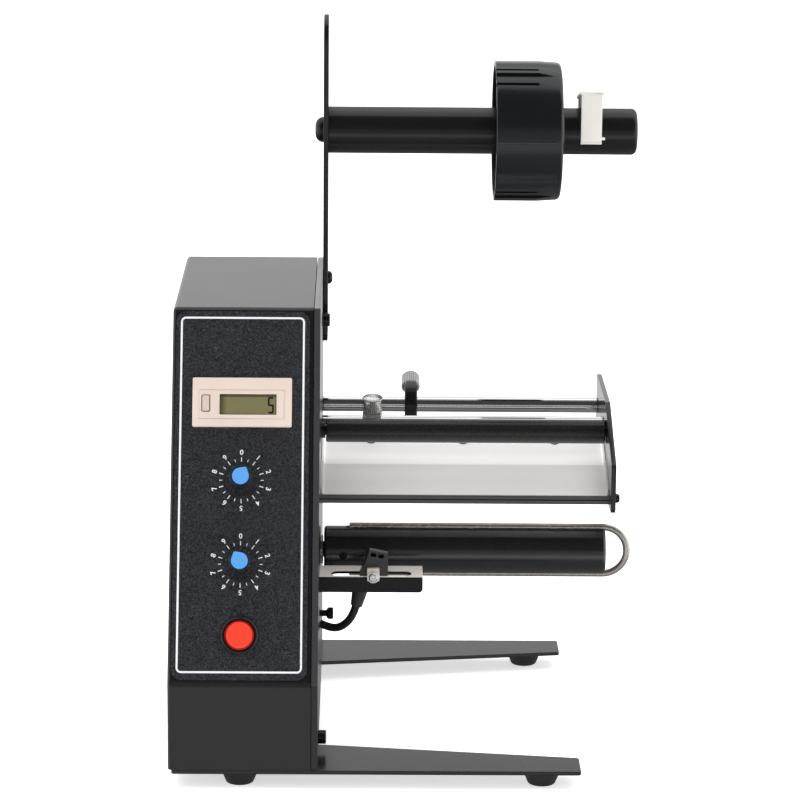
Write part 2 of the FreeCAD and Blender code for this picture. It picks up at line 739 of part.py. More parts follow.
def make_guide_rods():
    for name, b in (("rear_guide_rod", REAR_ROD_BACK), ("front_guide_rod", FRONT_ROD_BACK)):
        y = back(b)
        save(name, tapped(bar_x(SIDE_OUT, END_IN, y, ROD_Z, ROD_D), y, ROD_Z))


def make_pressure_roller():
    """Plain roller that turns on a fixed axle with a shoulder at its left end."""
    y = back(ROLLER_BACK)
    axle = bar_x(SIDE_OUT, END_IN, y, ROD_Z, AXLE_D)
    shoulder = bar_x(SIDE_OUT, SIDE_OUT + AXLE_SHOULDER, y, ROD_Z, AXLE_SHOULDER_D)
    save("roller_axle", tapped(axle.fuse(shoulder).removeSplitter(), y, ROD_Z))
    start = SIDE_OUT + AXLE_SHOULDER + SEAT
    end = END_IN - SEAT
    radius = ROLLER_D / 2
    bore = AXLE_D / 2 + SLIP
    bevel = 0.5
    profile = [(start, bore), (start, radius - bevel), (start + bevel, radius), (end - bevel, radius),
               (end, radius - bevel), (end, bore)]
    save("pressure_roller", revolve_x(profile, y, ROD_Z))


# ---- peel plate ---------------------------------------------------------------------------------------
def peel_height(distance):
    """Top of the peel plate above the deck."""
    slope = PEEL_SLOPE_FRONT if distance < PEEL_CREASE else PEEL_SLOPE_REAR
    return PEEL_CREASE_UP + (distance - PEEL_CREASE) * math.tan(math.radians(slope))


def peel_strip(above, below):
    """Outline that follows the peel plate, from so far above its top to so far below."""
    stations = (PEEL_FRONT, PEEL_CREASE, PEEL_REAR)
    top = [(back(s), up(peel_height(s) + above)) for s in stations]
    bottom = [(back(s), up(peel_height(s) - below)) for s in reversed(stations)]
    return top + bottom


def make_peel_plate():
    """Creased aluminium plate with a low rim at each end, its edge bar and its rear support."""
    x0, x1 = SIDE_OUT + SEAT, END_IN - SEAT
    plate = prism_x(peel_strip(0.0, PEEL_THICK), x0, x1)
    rims = [prism_x(peel_strip(PEEL_RIM, PEEL_THICK), x0, x0 + PEEL_RIM_THICK),
            prism_x(peel_strip(PEEL_RIM, PEEL_THICK), x1 - PEEL_RIM_THICK, x1)]
    plate = plate.fuse(rims).removeSplitter()
    shanks = []
    heads = []
    slope = math.radians(PEEL_SLOPE_REAR)
    outward = Vector(0, -math.sin(slope), math.cos(slope))
    middle = (SIDE_OUT + END_IN) / 2
    for step in (-1, 0, 1):
        seat = Vector(middle + step * PEEL_SCREW_PITCH, back(PEEL_SCREW_BACK), up(peel_height(PEEL_SCREW_BACK)))
        shanks.append(Part.makeCylinder(ROD_SCREW_D / 2, PEEL_THICK + SUPPORT_H - 1, seat, outward * -1))
        heads.append(Part.makeCylinder(PEEL_SCREW_HEAD_D / 2, PEEL_SCREW_HEAD, seat, outward))
    save("peel_plate", plate.cut(shanks))
    save("peel_plate_screws", *[shank.fuse(head).removeSplitter() for shank, head in zip(shanks, heads)])
    make_support_bar(shanks)
    make_edge_bar()


def make_support_bar(shanks):
    b, h = support_middle()
    bar = box(SIDE_OUT, END_IN, -SUPPORT_W / 2, SUPPORT_W / 2, -SUPPORT_H / 2, SUPPORT_H / 2)
    bar.Placement = Placement(Vector(0, back(b), up(h)), Rotation(X_AXIS, PEEL_SLOPE_REAR))
    bar = tapped(bar, back(b), up(h))
    save("peel_support_bar", bar.cut(shanks))


def make_edge_bar():
    """Steel bar along the peel edge: its lip closes the plate's front, a groove runs along its face."""
    lip = PEEL_FRONT - EDGE_LIP
    top = peel_height(PEEL_FRONT)
    bottom = top - EDGE_HEIGHT
    rear = lip + EDGE_DEPTH
    groove = top - EDGE_HEIGHT / 2
    half = EDGE_GROOVE / 2
    outline = [
        (lip, bottom), (lip, groove - half), (lip + half, groove), (lip, groove + half), (lip, top - 0.4),
        (lip + 0.4, top), (PEEL_FRONT, top), (PEEL_FRONT, top - PEEL_THICK),
        (rear, peel_height(rear) - PEEL_THICK), (rear, bottom),
    ]
    bar = prism_x([(back(b), up(h)) for b, h in outline], SIDE_OUT, END_IN)
    b, h = edge_middle()
    save("peel_edge_bar", tapped(bar, back(b), up(h)))


def make_end_plate():
    """Outer plate of the web path, cut back along the peel plate's slope."""
    front = PEEL_FRONT - END_AHEAD
    lean = front + END_STEEPER
    low = ROD_UP - END_BELOW
    top = ROD_UP + END_ABOVE
    nose = low + END_NOSE
    shoulder = lean + (top - nose) / math.tan(math.radians(PEEL_SLOPE_FRONT + END_STEEPER))
    rear = REAR_ROD_BACK + END_BEHIND
    outline = [(front, low), (lean, nose), (shoulder, top), (rear, top), (rear, ROD_UP - END_TAIL),
               (FRONT_ROD_BACK + END_FOOT, low)]
    plate = prism_x([(back(b), up(h)) for b, h in outline], END_IN, END_OUT)
    plate = rounded(plate, END_CORNER, X_AXIS)
    holes = [bar_x(END_IN - 1, END_OUT + 1, back(b), up(h), ROD_SCREW_D) for b, h in rod_places().values()]
    for name in ("rear_rod", "front_rod", "support"):
        b, h = rod_places()[name]
        holes.append(sunk_head(END_OUT, back(b), up(h), -1))
    save("end_plate", plate.cut(holes))


# ---- guides on the rods ---------------------------------------------------------------------------------
def radial(shape, x, y, tilt):
    """Stand a shape, made about Z, on a rod's axis and lean it towards the back."""
    moved = shape.copy()
    moved.Placement = Placement(Vector(x, y, ROD_Z), Rotation(X_AXIS, -tilt))
    return moved


def thumbscrew(start, length, diameter, tip):
    """Knurled knob with a stem that reaches the rod."""
    radius = diameter / 2
    bevel = 0.5
    knob = revolve_z([(0, start), (radius - bevel, start), (radius, start + bevel),
                      (radius, start + length - bevel), (radius - bevel, start + length), (0, start + length)])
    cuts = []
    for index in range(KNURLS):
        angle = 2 * math.pi * index / KNURLS
        notch = disc(0.42, start - 1, start + length + 1, (radius + 0.12) * math.cos(angle),
                     (radius + 0.12) * math.sin(angle))
        cuts.append(notch)
    return knob.cut(cuts).fuse(disc(THUMB_STEM_D / 2, tip, start)).removeSplitter()


def make_guide(name, screw_name, x, rod_back, diameter, width, tilt, knob_d, knob_length):
    """A ring that slides on a rod and the thumbscrew that clamps it."""
    y = back(rod_back)
    bevel = 0.6
    bore = ROD_D / 2 + SLIP
    radius = diameter / 2
    x0, x1 = x - width / 2, x + width / 2
    ring = revolve_x([(x0, bore), (x0, radius - bevel), (x0 + bevel, radius), (x1 - bevel, radius),
                      (x1, radius - bevel), (x1, bore)], y, ROD_Z)
    tip = ROD_D / 2 + SEAT
    hole = radial(disc(THUMB_STEM_D / 2 + SLIP, 0, radius + 5), x, y, tilt)
    save(name, ring.cut(hole))
    save(screw_name, radial(thumbscrew(radius + SEAT, knob_length, knob_d, tip), x, y, tilt))


def make_guides():
    make_guide("guide_collar", "collar_thumbscrew", SIDE_OUT + COLLAR_FROM_SIDE, FRONT_ROD_BACK, COLLAR_D,
               COLLAR_WIDTH, COLLAR_TILT, COLLAR_KNOB_D, COLLAR_KNOB)
    make_guide("label_guide", "guide_thumbscrew", SIDE_OUT + GUIDE_FROM_SIDE, REAR_ROD_BACK, GUIDE_D,
               GUIDE_WIDTH, GUIDE_TILT, GUIDE_KNOB_D, GUIDE_KNOB)


# ---- roll holder ----------------------------------------------------------------------------------------
def make_roll_arm():
    """Upright strip bolted to the side plate, round at the top, with the roll shaft across it."""
    half = ARM_WIDTH / 2
    bottom = up(HOUSING_HEIGHT - ARM_LAP)
    top = SHAFT_Z + ARM_ABOVE
    strip = box(SIDE_OUT, ARM_OUT, SHAFT_Y - half, SHAFT_Y + half, bottom, top)
    strip = rounded(strip, half - 0.01, X_AXIS, lambda middle: middle.z > SHAFT_Z)
    strip = rounded(strip, ARM_CORNER, X_AXIS, lambda middle: middle.z < bottom + 1)
    holes = [bar_x(SIDE_OUT - 1, ARM_OUT + 1, SHAFT_Y, z, ARM_BOLT_D) for z in arm_bolt_heights()]
    holes.append(bar_x(SIDE_OUT - 1, ARM_OUT + 1, SHAFT_Y, SHAFT_Z, SHAFT_BOLT_D))
    save("roll_arm", strip.cut(holes))


def button_head(x, y, z, diameter, height, towards):
    """A domed screw head that stands on the plane at x."""
    radius = diameter / 2
    profile = [(x, 0), (x, radius), (x + towards * height * 0.45, radius * 0.93),
               (x + towards * height * 0.8, radius * 0.75), (x + towards * height, radius * 0.45),
               (x + towards * height, 0)]
    return revolve_x(profile, y, z)


def make_arm_bolts():
    """A visible button head, a flush bolt below it and the big bolt in the shaft's end."""
    high, low = arm_bolt_heights()
    bolts = []
    head = button_head(ARM_OUT, SHAFT_Y, high, BUTTON_HEAD_D, BUTTON_HEAD, 1)
    bolts.append(head.fuse(bar_x(SIDE_IN, ARM_OUT, SHAFT_Y, high, ARM_BOLT_D)).removeSplitter())
    nut = bar_x(SIDE_IN - ARM_THICK, SIDE_IN, SHAFT_Y, low, ARM_BOLT_D + 3)
    bolts.append(nut.fuse(bar_x(SIDE_IN, ARM_OUT, SHAFT_Y, low, ARM_BOLT_D)).removeSplitter())
    head = button_head(SIDE_OUT, SHAFT_Y, SHAFT_Z, SHAFT_BOLT_HEAD_D, SHAFT_BOLT_HEAD, -1)
    shank = bar_x(SIDE_OUT, ARM_OUT + 2 * SHAFT_BOLT_D, SHAFT_Y, SHAFT_Z, SHAFT_BOLT_D)
    bolts.append(head.fuse(shank).removeSplitter())
    save("arm_bolts", *bolts)


def make_roll_shaft():
    shaft = bar_x(ARM_OUT, ARM_OUT + SHAFT_LENGTH, SHAFT_Y, SHAFT_Z, SHAFT_D)
    end = [edge for edge in shaft.Edges if edge.BoundBox.XMin > ARM_OUT + SHAFT_LENGTH - 1e-3]
    shaft = shaft.makeFillet(SHAFT_END_R, end)
    save("roll_shaft", shaft.cut(bar_x(ARM_OUT - 1, ARM_OUT + 2 * SHAFT_BOLT_D, SHAFT_Y, SHAFT_Z, SHAFT_BOLT_D)))


HUB_BORE = SHAFT_D / 2 + SLIP + BUSH_WALL


def make_hub_bush():
    """Sleeve that slides on the shaft; the hub turns on it between a flange and a snap lip."""
    inner = SHAFT_D / 2 + SLIP
    outer = HUB_BORE - SLIP
    start = HUB_X + HUB_RECESS - SEAT
    end = HUB_X + HUB_WIDTH + SEAT
    profile = [
        (start - BUSH_LIP, inner), (start - BUSH_LIP, HUB_SLEEVE_D / 2 - 1), (start, HUB_SLEEVE_D / 2 - 1),
        (start, outer), (end, outer), (end, outer + BUSH_LIP_STEP), (end + BUSH_LIP, outer), (end + BUSH_LIP, inner),
    ]
    save("hub_bush", revolve_x(profile, SHAFT_Y, SHAFT_Z))


def hub_turned(shape, angle):
    """Turn a shape, made with its radius along +Y, about the shaft axis."""
    moved = shape.copy()
    moved.rotate(Vector(0, SHAFT_Y, SHAFT_Z), X_AXIS, angle)
    return moved


def hub_finger_cuts():
    """Per finger: two thin slots from the open rim, and a groove that tapers out towards the closed end."""
    radius = HUB_D / 2
    cuts = []
    for finger in range(HUB_FINGERS):
        middle = FINGER_FIRST + 360.0 * finger / HUB_FINGERS
        for side in (-1, 1):
            slot = box(HUB_X - 1, HUB_X + FINGER_LENGTH, SHAFT_Y + radius - 3 * HUB_WALL, SHAFT_Y + radius + 2,
                       SHAFT_Z - FINGER_SLOT / 2, SHAFT_Z + FINGER_SLOT / 2)
            cuts.append(hub_turned(slot, middle + side * FINGER_HALF))
        floor = SHAFT_Y + radius - GROOVE_DEPTH
        half = GROOVE_WIDTH / 2
        straight = box(HUB_X - 1, HUB_X + FINGER_LENGTH, floor, SHAFT_Y + radius + 2, SHAFT_Z - half, SHAFT_Z + half)
        ramp_x = HUB_X + FINGER_LENGTH - 0.1
        tip_x = HUB_X + FINGER_LENGTH + GROOVE_RAMP
        wedge = prism_z([(ramp_x, floor), (tip_x, SHAFT_Y + radius - HUB_TAPER / 2 + 0.2),
                         (ramp_x, SHAFT_Y + radius + 2)], SHAFT_Z - half, SHAFT_Z + half)
        corners = [Vector(ramp_x, floor - 1, SHAFT_Z - half), Vector(tip_x, floor - 1, SHAFT_Z),
                   Vector(ramp_x, floor - 1, SHAFT_Z + half)]
        point = Part.Face(Part.makePolygon(corners + corners[:1])).extrude(Vector(0, GROOVE_DEPTH + 4, 0))
        cuts.append(hub_turned(straight.fuse(wedge.common(point)), middle))
    return cuts


def make_core_hub():
    """Moulded cup: tapered drum with three slotted fingers, end wall, sleeve and radial ribs."""
    radius = HUB_D / 2
    small = radius - HUB_TAPER / 2
    end = HUB_X + HUB_WIDTH
    inside = end - HUB_END_WALL
    mouth = HUB_X + HUB_RECESS
    sleeve = HUB_SLEEVE_D / 2
    bore = HUB_BORE
    cup = revolve_x([
        (HUB_X, radius - HUB_WALL), (HUB_X, radius), (HUB_X + HUB_STRAIGHT, radius), (end - HUB_RIM_R, small),
        (end - HUB_RIM_R * 0.3, small - HUB_RIM_R * 0.3),
        (end, small - HUB_RIM_R), (end, bore), (mouth, bore), (mouth, sleeve), (inside, sleeve),
        (inside, small - HUB_WALL),
    ], SHAFT_Y, SHAFT_Z)
    ribs = []
    for index in range(HUB_RIBS):
        rib = box(HUB_X + 9.0, inside + 0.1, SHAFT_Y + sleeve - 0.5, SHAFT_Y + small - HUB_WALL + 0.6,
                  SHAFT_Z - HUB_RIB_THICK / 2, SHAFT_Z + HUB_RIB_THICK / 2)
        ribs.append(hub_turned(rib, RIB_FIRST + 360.0 * index / HUB_RIBS))
    save("core_hub", cup.fuse(ribs).cut(hub_finger_cuts()).removeSplitter())


def make_stop_clip():
    """White plastic clip astride the shaft: two leaves, a sloping bridge with small lips, a strut pair under it."""
    x0 = HUB_X + HUB_WIDTH + CLIP_FROM_HUB
    x1 = x0 + CLIP_WIDTH
    gap = SHAFT_D / 2 + SLIP
    outer = gap + CLIP_THICK
    low = SHAFT_Z - CLIP_DROP

    def roof(y):
        """Height of the bridge's top face."""
        return SHAFT_Z + CLIP_TOP + (CLIP_TAIL - CLIP_TOP) * (y - SHAFT_Y + outer) / (2 * outer)

    front, rear = SHAFT_Y - outer, SHAFT_Y + outer
    leaves = [
        prism_x([(front, low), (front, roof(front)), (front + CLIP_THICK, roof(front + CLIP_THICK)),
                 (front + CLIP_THICK, low)], x0, x1),
        prism_x([(rear, low), (rear, roof(rear)), (rear - CLIP_THICK, roof(rear - CLIP_THICK)),
                 (rear - CLIP_THICK, low)], x0, x1),
    ]
    bridge = prism_x([(front, roof(front)), (rear, roof(rear)), (rear, roof(rear) - CLIP_THICK),
                      (front, roof(front) - CLIP_THICK)], x0 - CLIP_LIP, x1 + CLIP_LIP)
    foot_z = SHAFT_Z + SHAFT_D / 2 + SEAT
    top = roof(SHAFT_Y) - CLIP_THICK + 0.3
    struts = []
    for side in (-1, 1):
        points = [(SHAFT_Y, top), (SHAFT_Y + side * 1.2, top), (SHAFT_Y + side * CLIP_LEG_SPREAD, foot_z),
                  (SHAFT_Y + side * (CLIP_LEG_SPREAD - 1.4), foot_z)]
        struts.append(prism_x(points, x0 + 0.5, x1 - 0.5))
    nub = bar_x(x1 - 0.5, x1 + CLIP_NUB, front + CLIP_THICK / 2, low + CLIP_NUB_UP, CLIP_THICK)
    save("stop_clip", leaves[0].fuse([leaves[1], bridge, nub] + struts).removeSplitter())


# ---- take-up roller ---------------------------------------------------------------------------------------
def make_takeup_roller():
    """Roller with a groove on each side for the clip's legs, a bore for the output shaft and a set screw."""
    start = SIDE_OUT + TAKEUP_START
    end = start + TAKEUP_LENGTH
    radius = TAKEUP_D / 2
    c = TAKEUP_CHAMFER
    body = revolve_x([(start, 0), (start, radius - c), (start + c, radius), (end - c, radius), (end, radius - c),
                      (end, 0)], TAKEUP_Y, TAKEUP_Z)
    groove_d = WIRE_D + 2 * WIRE_PLAY
    cuts = [bar_x(SIDE_OUT + WIRE_START - 1, end + 1, TAKEUP_Y, TAKEUP_Z + side * WIRE_SPREAD / 2, groove_d)
            for side in (-1, 1)]
    cuts.append(bar_x(start - 1, start + OUTPUT_IN_ROLLER, TAKEUP_Y, TAKEUP_Z, OUTPUT_D))
    screw_x = start + SET_SCREW_AT
    cuts.append(Part.makeCylinder(SET_SCREW_D / 2, radius + 1, Vector(screw_x, TAKEUP_Y, TAKEUP_Z), Y_AXIS * -1))
    save("takeup_roller", body.cut(cuts))
    screw = Part.makeCylinder(SET_SCREW_D / 2, radius - OUTPUT_D / 2 - 1.5,
                              Vector(screw_x, TAKEUP_Y - OUTPUT_D / 2, TAKEUP_Z), Y_AXIS * -1)
    save("roller_set_screw", screw)


def make_paper_clip():
    """U of round wire whose legs lie in the roller's grooves and trap the backing paper."""
    half = WIRE_SPREAD / 2
    start = SIDE_OUT + WIRE_START
    bend_x = SIDE_OUT + WIRE_REACH - WIRE_D / 2 - half
    top = Vector(bend_x, TAKEUP_Y, TAKEUP_Z + half)
    bottom = Vector(bend_x, TAKEUP_Y, TAKEUP_Z - half)
    path = Part.Wire([
        Part.LineSegment(Vector(start, TAKEUP_Y, TAKEUP_Z + half), top).toShape(),
        Part.Arc(top, Vector(bend_x + half, TAKEUP_Y, TAKEUP_Z), bottom).toShape(),
        Part.LineSegment(bottom, Vector(start, TAKEUP_Y, TAKEUP_Z - half)).toShape(),
    ])
    section = Part.Wire(Part.makeCircle(WIRE_D / 2, Vector(start, TAKEUP_Y, TAKEUP_Z + half), X_AXIS))
    save("paper_clip", path.makePipeShell([section], True, False))


# ---- gearbox ------------------------------------------------------------------------------------------------
def gear_distance(teeth_a, teeth_b):
    return MODULE * (teeth_a + teeth_b) / 2


IDLER_Z = TAKEUP_Z + gear_distance(OUTPUT_TEETH, IDLER_SMALL_TEETH)
PINION_Z = IDLER_Z + gear_distance(IDLER_LARGE_TEETH, PINION_TEETH)
SLOW_X1 = SIDE_IN - BOX_WALL - GEAR_GAP
SLOW_X0 = SLOW_X1 - GEAR_WIDTH
FAST_X1 = SLOW_X0 - GEAR_GAP
FAST_X0 = FAST_X1 - GEAR_WIDTH
BOX_X0 = SIDE_IN - BOX_DEPTH


def gear_outline(teeth, middle_z, first):
    """Involute teeth, drawn with straight steps. first is the angle of one tooth from +Y towards +Z."""
    pressure = math.radians(20)
    pitch_r = MODULE * teeth / 2
    base_r = pitch_r * math.cos(pressure)
    root_r = pitch_r - (1 + GEAR_CLEARANCE) * MODULE
    tip_r = pitch_r + MODULE
    half = math.pi * TOOTH_SHARE / teeth

    def involute(radius):
        angle = math.acos(min(1.0, base_r / radius))
        return math.tan(angle) - angle

    def half_angle(radius):
        return half + involute(pitch_r) - involute(max(radius, base_r))

    radii = (root_r, max(base_r, root_r + 0.01), pitch_r, tip_r)
    flank = [(radius, half_angle(radius)) for radius in radii]
    points = []
    for tooth in range(teeth):
        middle = math.radians(first) + 2 * math.pi * tooth / teeth
        for radius, spread in flank:
            points.append((radius, middle - spread))
        for radius, spread in reversed(flank):
            points.append((radius, middle + spread))
    return [(TAKEUP_Y + r * math.cos(a), middle_z + r * math.sin(a)) for r, a in points]


def gear(teeth, z, x0, x1, first):
    return prism_x(gear_outline(teeth, z, first), x0, x1)


def make_gears():
    """Two-stage train: motor pinion, double idler, and the output gear on the roller's shaft."""
    out_half = 180.0 / OUTPUT_TEETH
    output = gear(OUTPUT_TEETH, TAKEUP_Z, SLOW_X0, SLOW_X1, 90 + out_half)
    shaft_end = SIDE_OUT + TAKEUP_START + OUTPUT_IN_ROLLER
    shaft = bar_x(BOX_X0 - BOX_COVER / 2, shaft_end, TAKEUP_Y, TAKEUP_Z, OUTPUT_D)
    windows = []
    for index in range(5):
        angle = math.radians(72 * index)
        windows.append(bar_x(SLOW_X0 - 1, SLOW_X1 + 1, TAKEUP_Y + 11 * math.cos(angle),
                             TAKEUP_Z + 11 * math.sin(angle), 7.0))
    save("output_gear", output.cut(windows).fuse(shaft).removeSplitter())

    small = gear(IDLER_SMALL_TEETH, IDLER_Z, SLOW_X0, SLOW_X1, -90)
    large = gear(IDLER_LARGE_TEETH, IDLER_Z, FAST_X0, FAST_X1, 90)
    neck = bar_x(FAST_X1, SLOW_X0, TAKEUP_Y, IDLER_Z, IDLER_PIN_D + 3)
    bore = bar_x(FAST_X0 - 1, SLOW_X1 + 1, TAKEUP_Y, IDLER_Z, IDLER_PIN_D + 2 * SLIP)
    save("idler_gear", large.fuse([neck, small]).cut(bore).removeSplitter())

    pinion = gear(PINION_TEETH, PINION_Z, FAST_X0, FAST_X1, -90 + 180.0 / PINION_TEETH)
    motor_shaft = bar_x(BOX_X0 - BOX_COVER - MOTOR_SHAFT_IN + 1, FAST_X0, TAKEUP_Y, PINION_Z, MOTOR_SHAFT_D)
    save("motor_pinion", pinion.fuse(motor_shaft).removeSplitter())


def gearbox_walls():
    """Outer (y0, y1, z0, z1) of the case, round the gears and the motor."""
    reach = MODULE * (OUTPUT_TEETH / 2 + 1) + BOX_PLAY + BOX_WALL
    return TAKEUP_Y - reach, TAKEUP_Y + reach, TAKEUP_Z - reach, PINION_Z + MOTOR_D / 2 + 1.0


def make_gearbox():
    """Die-cast case open to the left, closed by a cover plate that carries the motor."""
    y0, y1, z0, z1 = gearbox_walls()
    w = BOX_WALL
    shell = rounded(box(BOX_X0, SIDE_IN, y0, y1, z0, z1), BOX_CORNER, X_AXIS)
    cavity = rounded(box(BOX_X0 - 1, SIDE_IN - w, y0 + w, y1 - w, z0 + w, z1 - w), BOX_CORNER - w, X_AXIS)
    pillars = [bar_x(BOX_X0, SIDE_IN, y, z, 2 * BOX_WALL + 1) for y, z in box_screw_places()]
    pin = bar_x(BOX_X0, SIDE_IN - w, TAKEUP_Y, IDLER_Z, IDLER_PIN_D)
    case = shell.cut(cavity).fuse([pillar.common(shell) for pillar in pillars] + [pin])
    screws = [bar_x(BOX_X0 - BOX_COVER - 1, SIDE_IN + 1, y, z, BOX_SCREW_D) for y, z in box_screw_places()]
    output_hole = bar_x(SIDE_IN - w - 1, SIDE_IN + 1, TAKEUP_Y, TAKEUP_Z, BUSH_SLEEVE_D)
    save("gearbox_case", case.cut(screws + [output_hole]).removeSplitter())

    cover = rounded(box(BOX_X0 - BOX_COVER, BOX_X0, y0, y1, z0, z1), BOX_CORNER, X_AXIS)
    seat = bar_x(BOX_X0 - BOX_COVER / 2 - SEAT, BOX_X0 + 1, TAKEUP_Y, TAKEUP_Z, OUTPUT_D + 2 * SLIP)
    motor_hole = bar_x(BOX_X0 - BOX_COVER - 1, BOX_X0 + 1, TAKEUP_Y, PINION_Z, MOTOR_BOSS_D)
    save("gearbox_cover", cover.cut(screws + [seat, motor_hole]))

    heads = []
    for y, z in box_screw_places():
        shank = bar_x(BOX_X0 - BOX_COVER, SIDE_OUT - 0.8, y, z, BOX_SCREW_D)
        head = bar_x(BOX_X0 - BOX_COVER - 2, BOX_X0 - BOX_COVER, y, z, 2 * BOX_SCREW_D - 0.4)
        heads.append(head.fuse(shank).removeSplitter())
    save("gearbox_screws", *heads)


def make_motor():
    """Direct-current motor: drawn can with a front boss and a rear bearing cup."""
    front = BOX_X0 - BOX_COVER
    can = bar_x(front - MOTOR_LENGTH, front, TAKEUP_Y, PINION_Z, MOTOR_D)
    rims = [edge for edge in can.Edges if isinstance(edge.Curve, Part.Circle)]
    can = can.makeFillet(1.5, rims)
    boss = bar_x(front, front + MOTOR_BOSS, TAKEUP_Y, PINION_Z, MOTOR_BOSS_D)
    cup = bar_x(front - MOTOR_LENGTH - 2.4, front - MOTOR_LENGTH, TAKEUP_Y, PINION_Z, MOTOR_BOSS_D)
    bore = bar_x(front - MOTOR_SHAFT_IN, front + MOTOR_BOSS + 1, TAKEUP_Y, PINION_Z, MOTOR_SHAFT_D + 2 * SLIP)
    save("motor_can", can.fuse([boss, cup]).cut(bore).removeSplitter())


def make_output_bush():
    """Flanged bush in the side plate and gearbox wall, round the output shaft."""
    bore = OUTPUT_D / 2 + SLIP
    sleeve = BUSH_SLEEVE_D / 2
    flange = BUSH_FLANGE_D / 2
    profile = [(SIDE_IN - BOX_WALL, bore), (SIDE_IN - BOX_WALL, sleeve), (SIDE_OUT, sleeve), (SIDE_OUT, flange),
               (SIDE_OUT + BUSH_FLANGE - 0.3, flange), (SIDE_OUT + BUSH_FLANGE, flange - 0.3),
               (SIDE_OUT + BUSH_FLANGE, bore)]
    save("output_bush", revolve_x(profile, TAKEUP_Y, TAKEUP_Z))


# ---- label sensor -----------------------------------------------------------------------------------------------
BRACKET_Y = back(BRACKET_BACK)
BRACKET_Z = up(BRACKET_UP)
SLOT_Y0 = BRACKET_Y + SLOT_RIM
SENSOR_X0 = SIDE_OUT + SENSOR_FROM_SIDE
SENSOR_X1 = SENSOR_X0 + SENSOR_W
SENSOR_Y0 = SLOT_Y0 + SEAT
SENSOR_Y1 = SLOT_Y0 + SLOT_WIDTH - SEAT
SENSOR_Y = (SENSOR_Y0 + SENSOR_Y1) / 2

# Route of the sensor lead: out of the side plate, down, and up into the sensor's boot.
# Each point is its distance from the side plate, behind the front edge, and above the deck.
CABLE_ROUTE = [Vector(SIDE_OUT + out, back(b), up(h)) for out, b, h in (
    (0.0, 84.0, 47.6),
    (4.1, 83.0, 46.0),
    (8.9, 80.6, 46.2),
    (13.1, 78.6, 49.2),
    (16.1, 77.6, 53.4),
    (18.5, 77.5, 60.0),
    (20.1, 77.5, 67.2),
)]
CABLE_HOLE = CABLE_ROUTE[0]


def bracket_screw_places():
    """Two screws that hold the bracket's tab to the side plate."""
    z = BRACKET_Z - BRACKET_SHEET / 2 - BRACKET_DROP / 2
    return [(BRACKET_Y + BRACKET_DEPTH * share, z) for share in (0.35, 0.8)]


def make_sensor_bracket():
    """Bent sheet: slotted shelf, front lip and a tab against the side plate."""
    x0, x1 = SIDE_OUT, SIDE_OUT + BRACKET_REACH
    y1 = BRACKET_Y + BRACKET_DEPTH
    low = BRACKET_Z - BRACKET_DROP
    shelf = box(x0, x1, BRACKET_Y, y1, BRACKET_Z - BRACKET_SHEET, BRACKET_Z)
    lip = box(x0, x1, BRACKET_Y, BRACKET_Y + SLOT_RIM, low, BRACKET_Z)
    lip = rounded(lip, BRACKET_CORNER, Y_AXIS, lambda middle: middle.z < low + 1 and middle.x > x1 - 1)
    tab = box(x0, x0 + BRACKET_SHEET, BRACKET_Y, y1, low, BRACKET_Z)
    slot_x0 = SIDE_OUT + SLOT_FROM_SIDE
    slot = box(slot_x0, slot_x0 + SLOT_LENGTH, SLOT_Y0, SLOT_Y0 + SLOT_WIDTH, BRACKET_Z - 5, BRACKET_Z + 1)
    slot = rounded(slot, SLOT_WIDTH / 2 - 0.3, Z_AXIS)
    screws = [bar_x(x0 - 1, x0 + BRACKET_SHEET + 1, y, z, ROD_SCREW_D) for y, z in bracket_screw_places()]
    save("sensor_bracket", shelf.fuse([lip, tab]).cut([slot] + screws).removeSplitter())


def make_sensor():
    """Sensor block through the shelf's slot, with two eyes in its bevelled top and a tapered boot below."""
    top = BRACKET_Z + SENSOR_ABOVE
    foot = BRACKET_Z - SENSOR_BELOW
    outline = [
        (SENSOR_X0, foot), (SENSOR_X1, foot), (SENSOR_X1, top - SENSOR_TOP_DROP),
        (SENSOR_X0 + SENSOR_LEAN, top), (SENSOR_X0, BRACKET_Z),
    ]
    points = [Vector(x, SENSOR_Y0, z) for x, z in outline]
    face = Part.Face(Part.makePolygon(points + points[:1]))
    block = face.extrude(Vector(0, SENSOR_Y1 - SENSOR_Y0, 0))
    corner = Vector(SENSOR_X0 + SENSOR_LEAN, SENSOR_Y0, top)
    cuts = [prism_x([(SENSOR_Y0 - 2, top - SENSOR_BEVEL - 2), (SENSOR_Y0 - 2, top + 2),
                     (SENSOR_Y0 + SENSOR_BEVEL + 2, top + 2)], SENSOR_X0 - 3, SENSOR_X1 + 3)]
    rise, outward = Vector(0, 1, 1).normalize(), Vector(0, -1, 1).normalize()
    for place in EYE_PLACES:
        eye = rounded(panel_rectangle(EYE_W, EYE_H, -EYE_DEPTH, EYE_DEPTH), EYE_R, Z_AXIS)
        middle = corner + Vector(place, SENSOR_BEVEL / 2, -SENSOR_BEVEL / 2) + rise * EYE_RISE
        eye.Placement = Placement(middle, Rotation(X_AXIS, rise, outward, "XYZ"))
        cuts.append(eye)
    slope = math.degrees(math.atan2(SENSOR_TOP_DROP, SENSOR_W - SENSOR_LEAN))
    for cut in cuts:
        cut.rotate(corner, Y_AXIS, slope)
    block = block.cut(cuts)
    end, before = CABLE_ROUTE[-1], CABLE_ROUTE[-2]
    axis = (before - end).normalize()
    mouth = Vector(end.x, SENSOR_Y, foot + 1.5)
    boot = Part.makeCone(BOOT_TOP_D / 2, BOOT_TIP_D / 2, BOOT_LENGTH, mouth, axis)
    bore = Part.makeCylinder(CABLE_D / 2 + BOOT_PLAY, 3 * BOOT_LENGTH, end, axis)
    save("sensor_head", block.fuse(boot).cut(bore).removeSplitter())


def clamp_middle():
    return SENSOR_X0 + 6.8


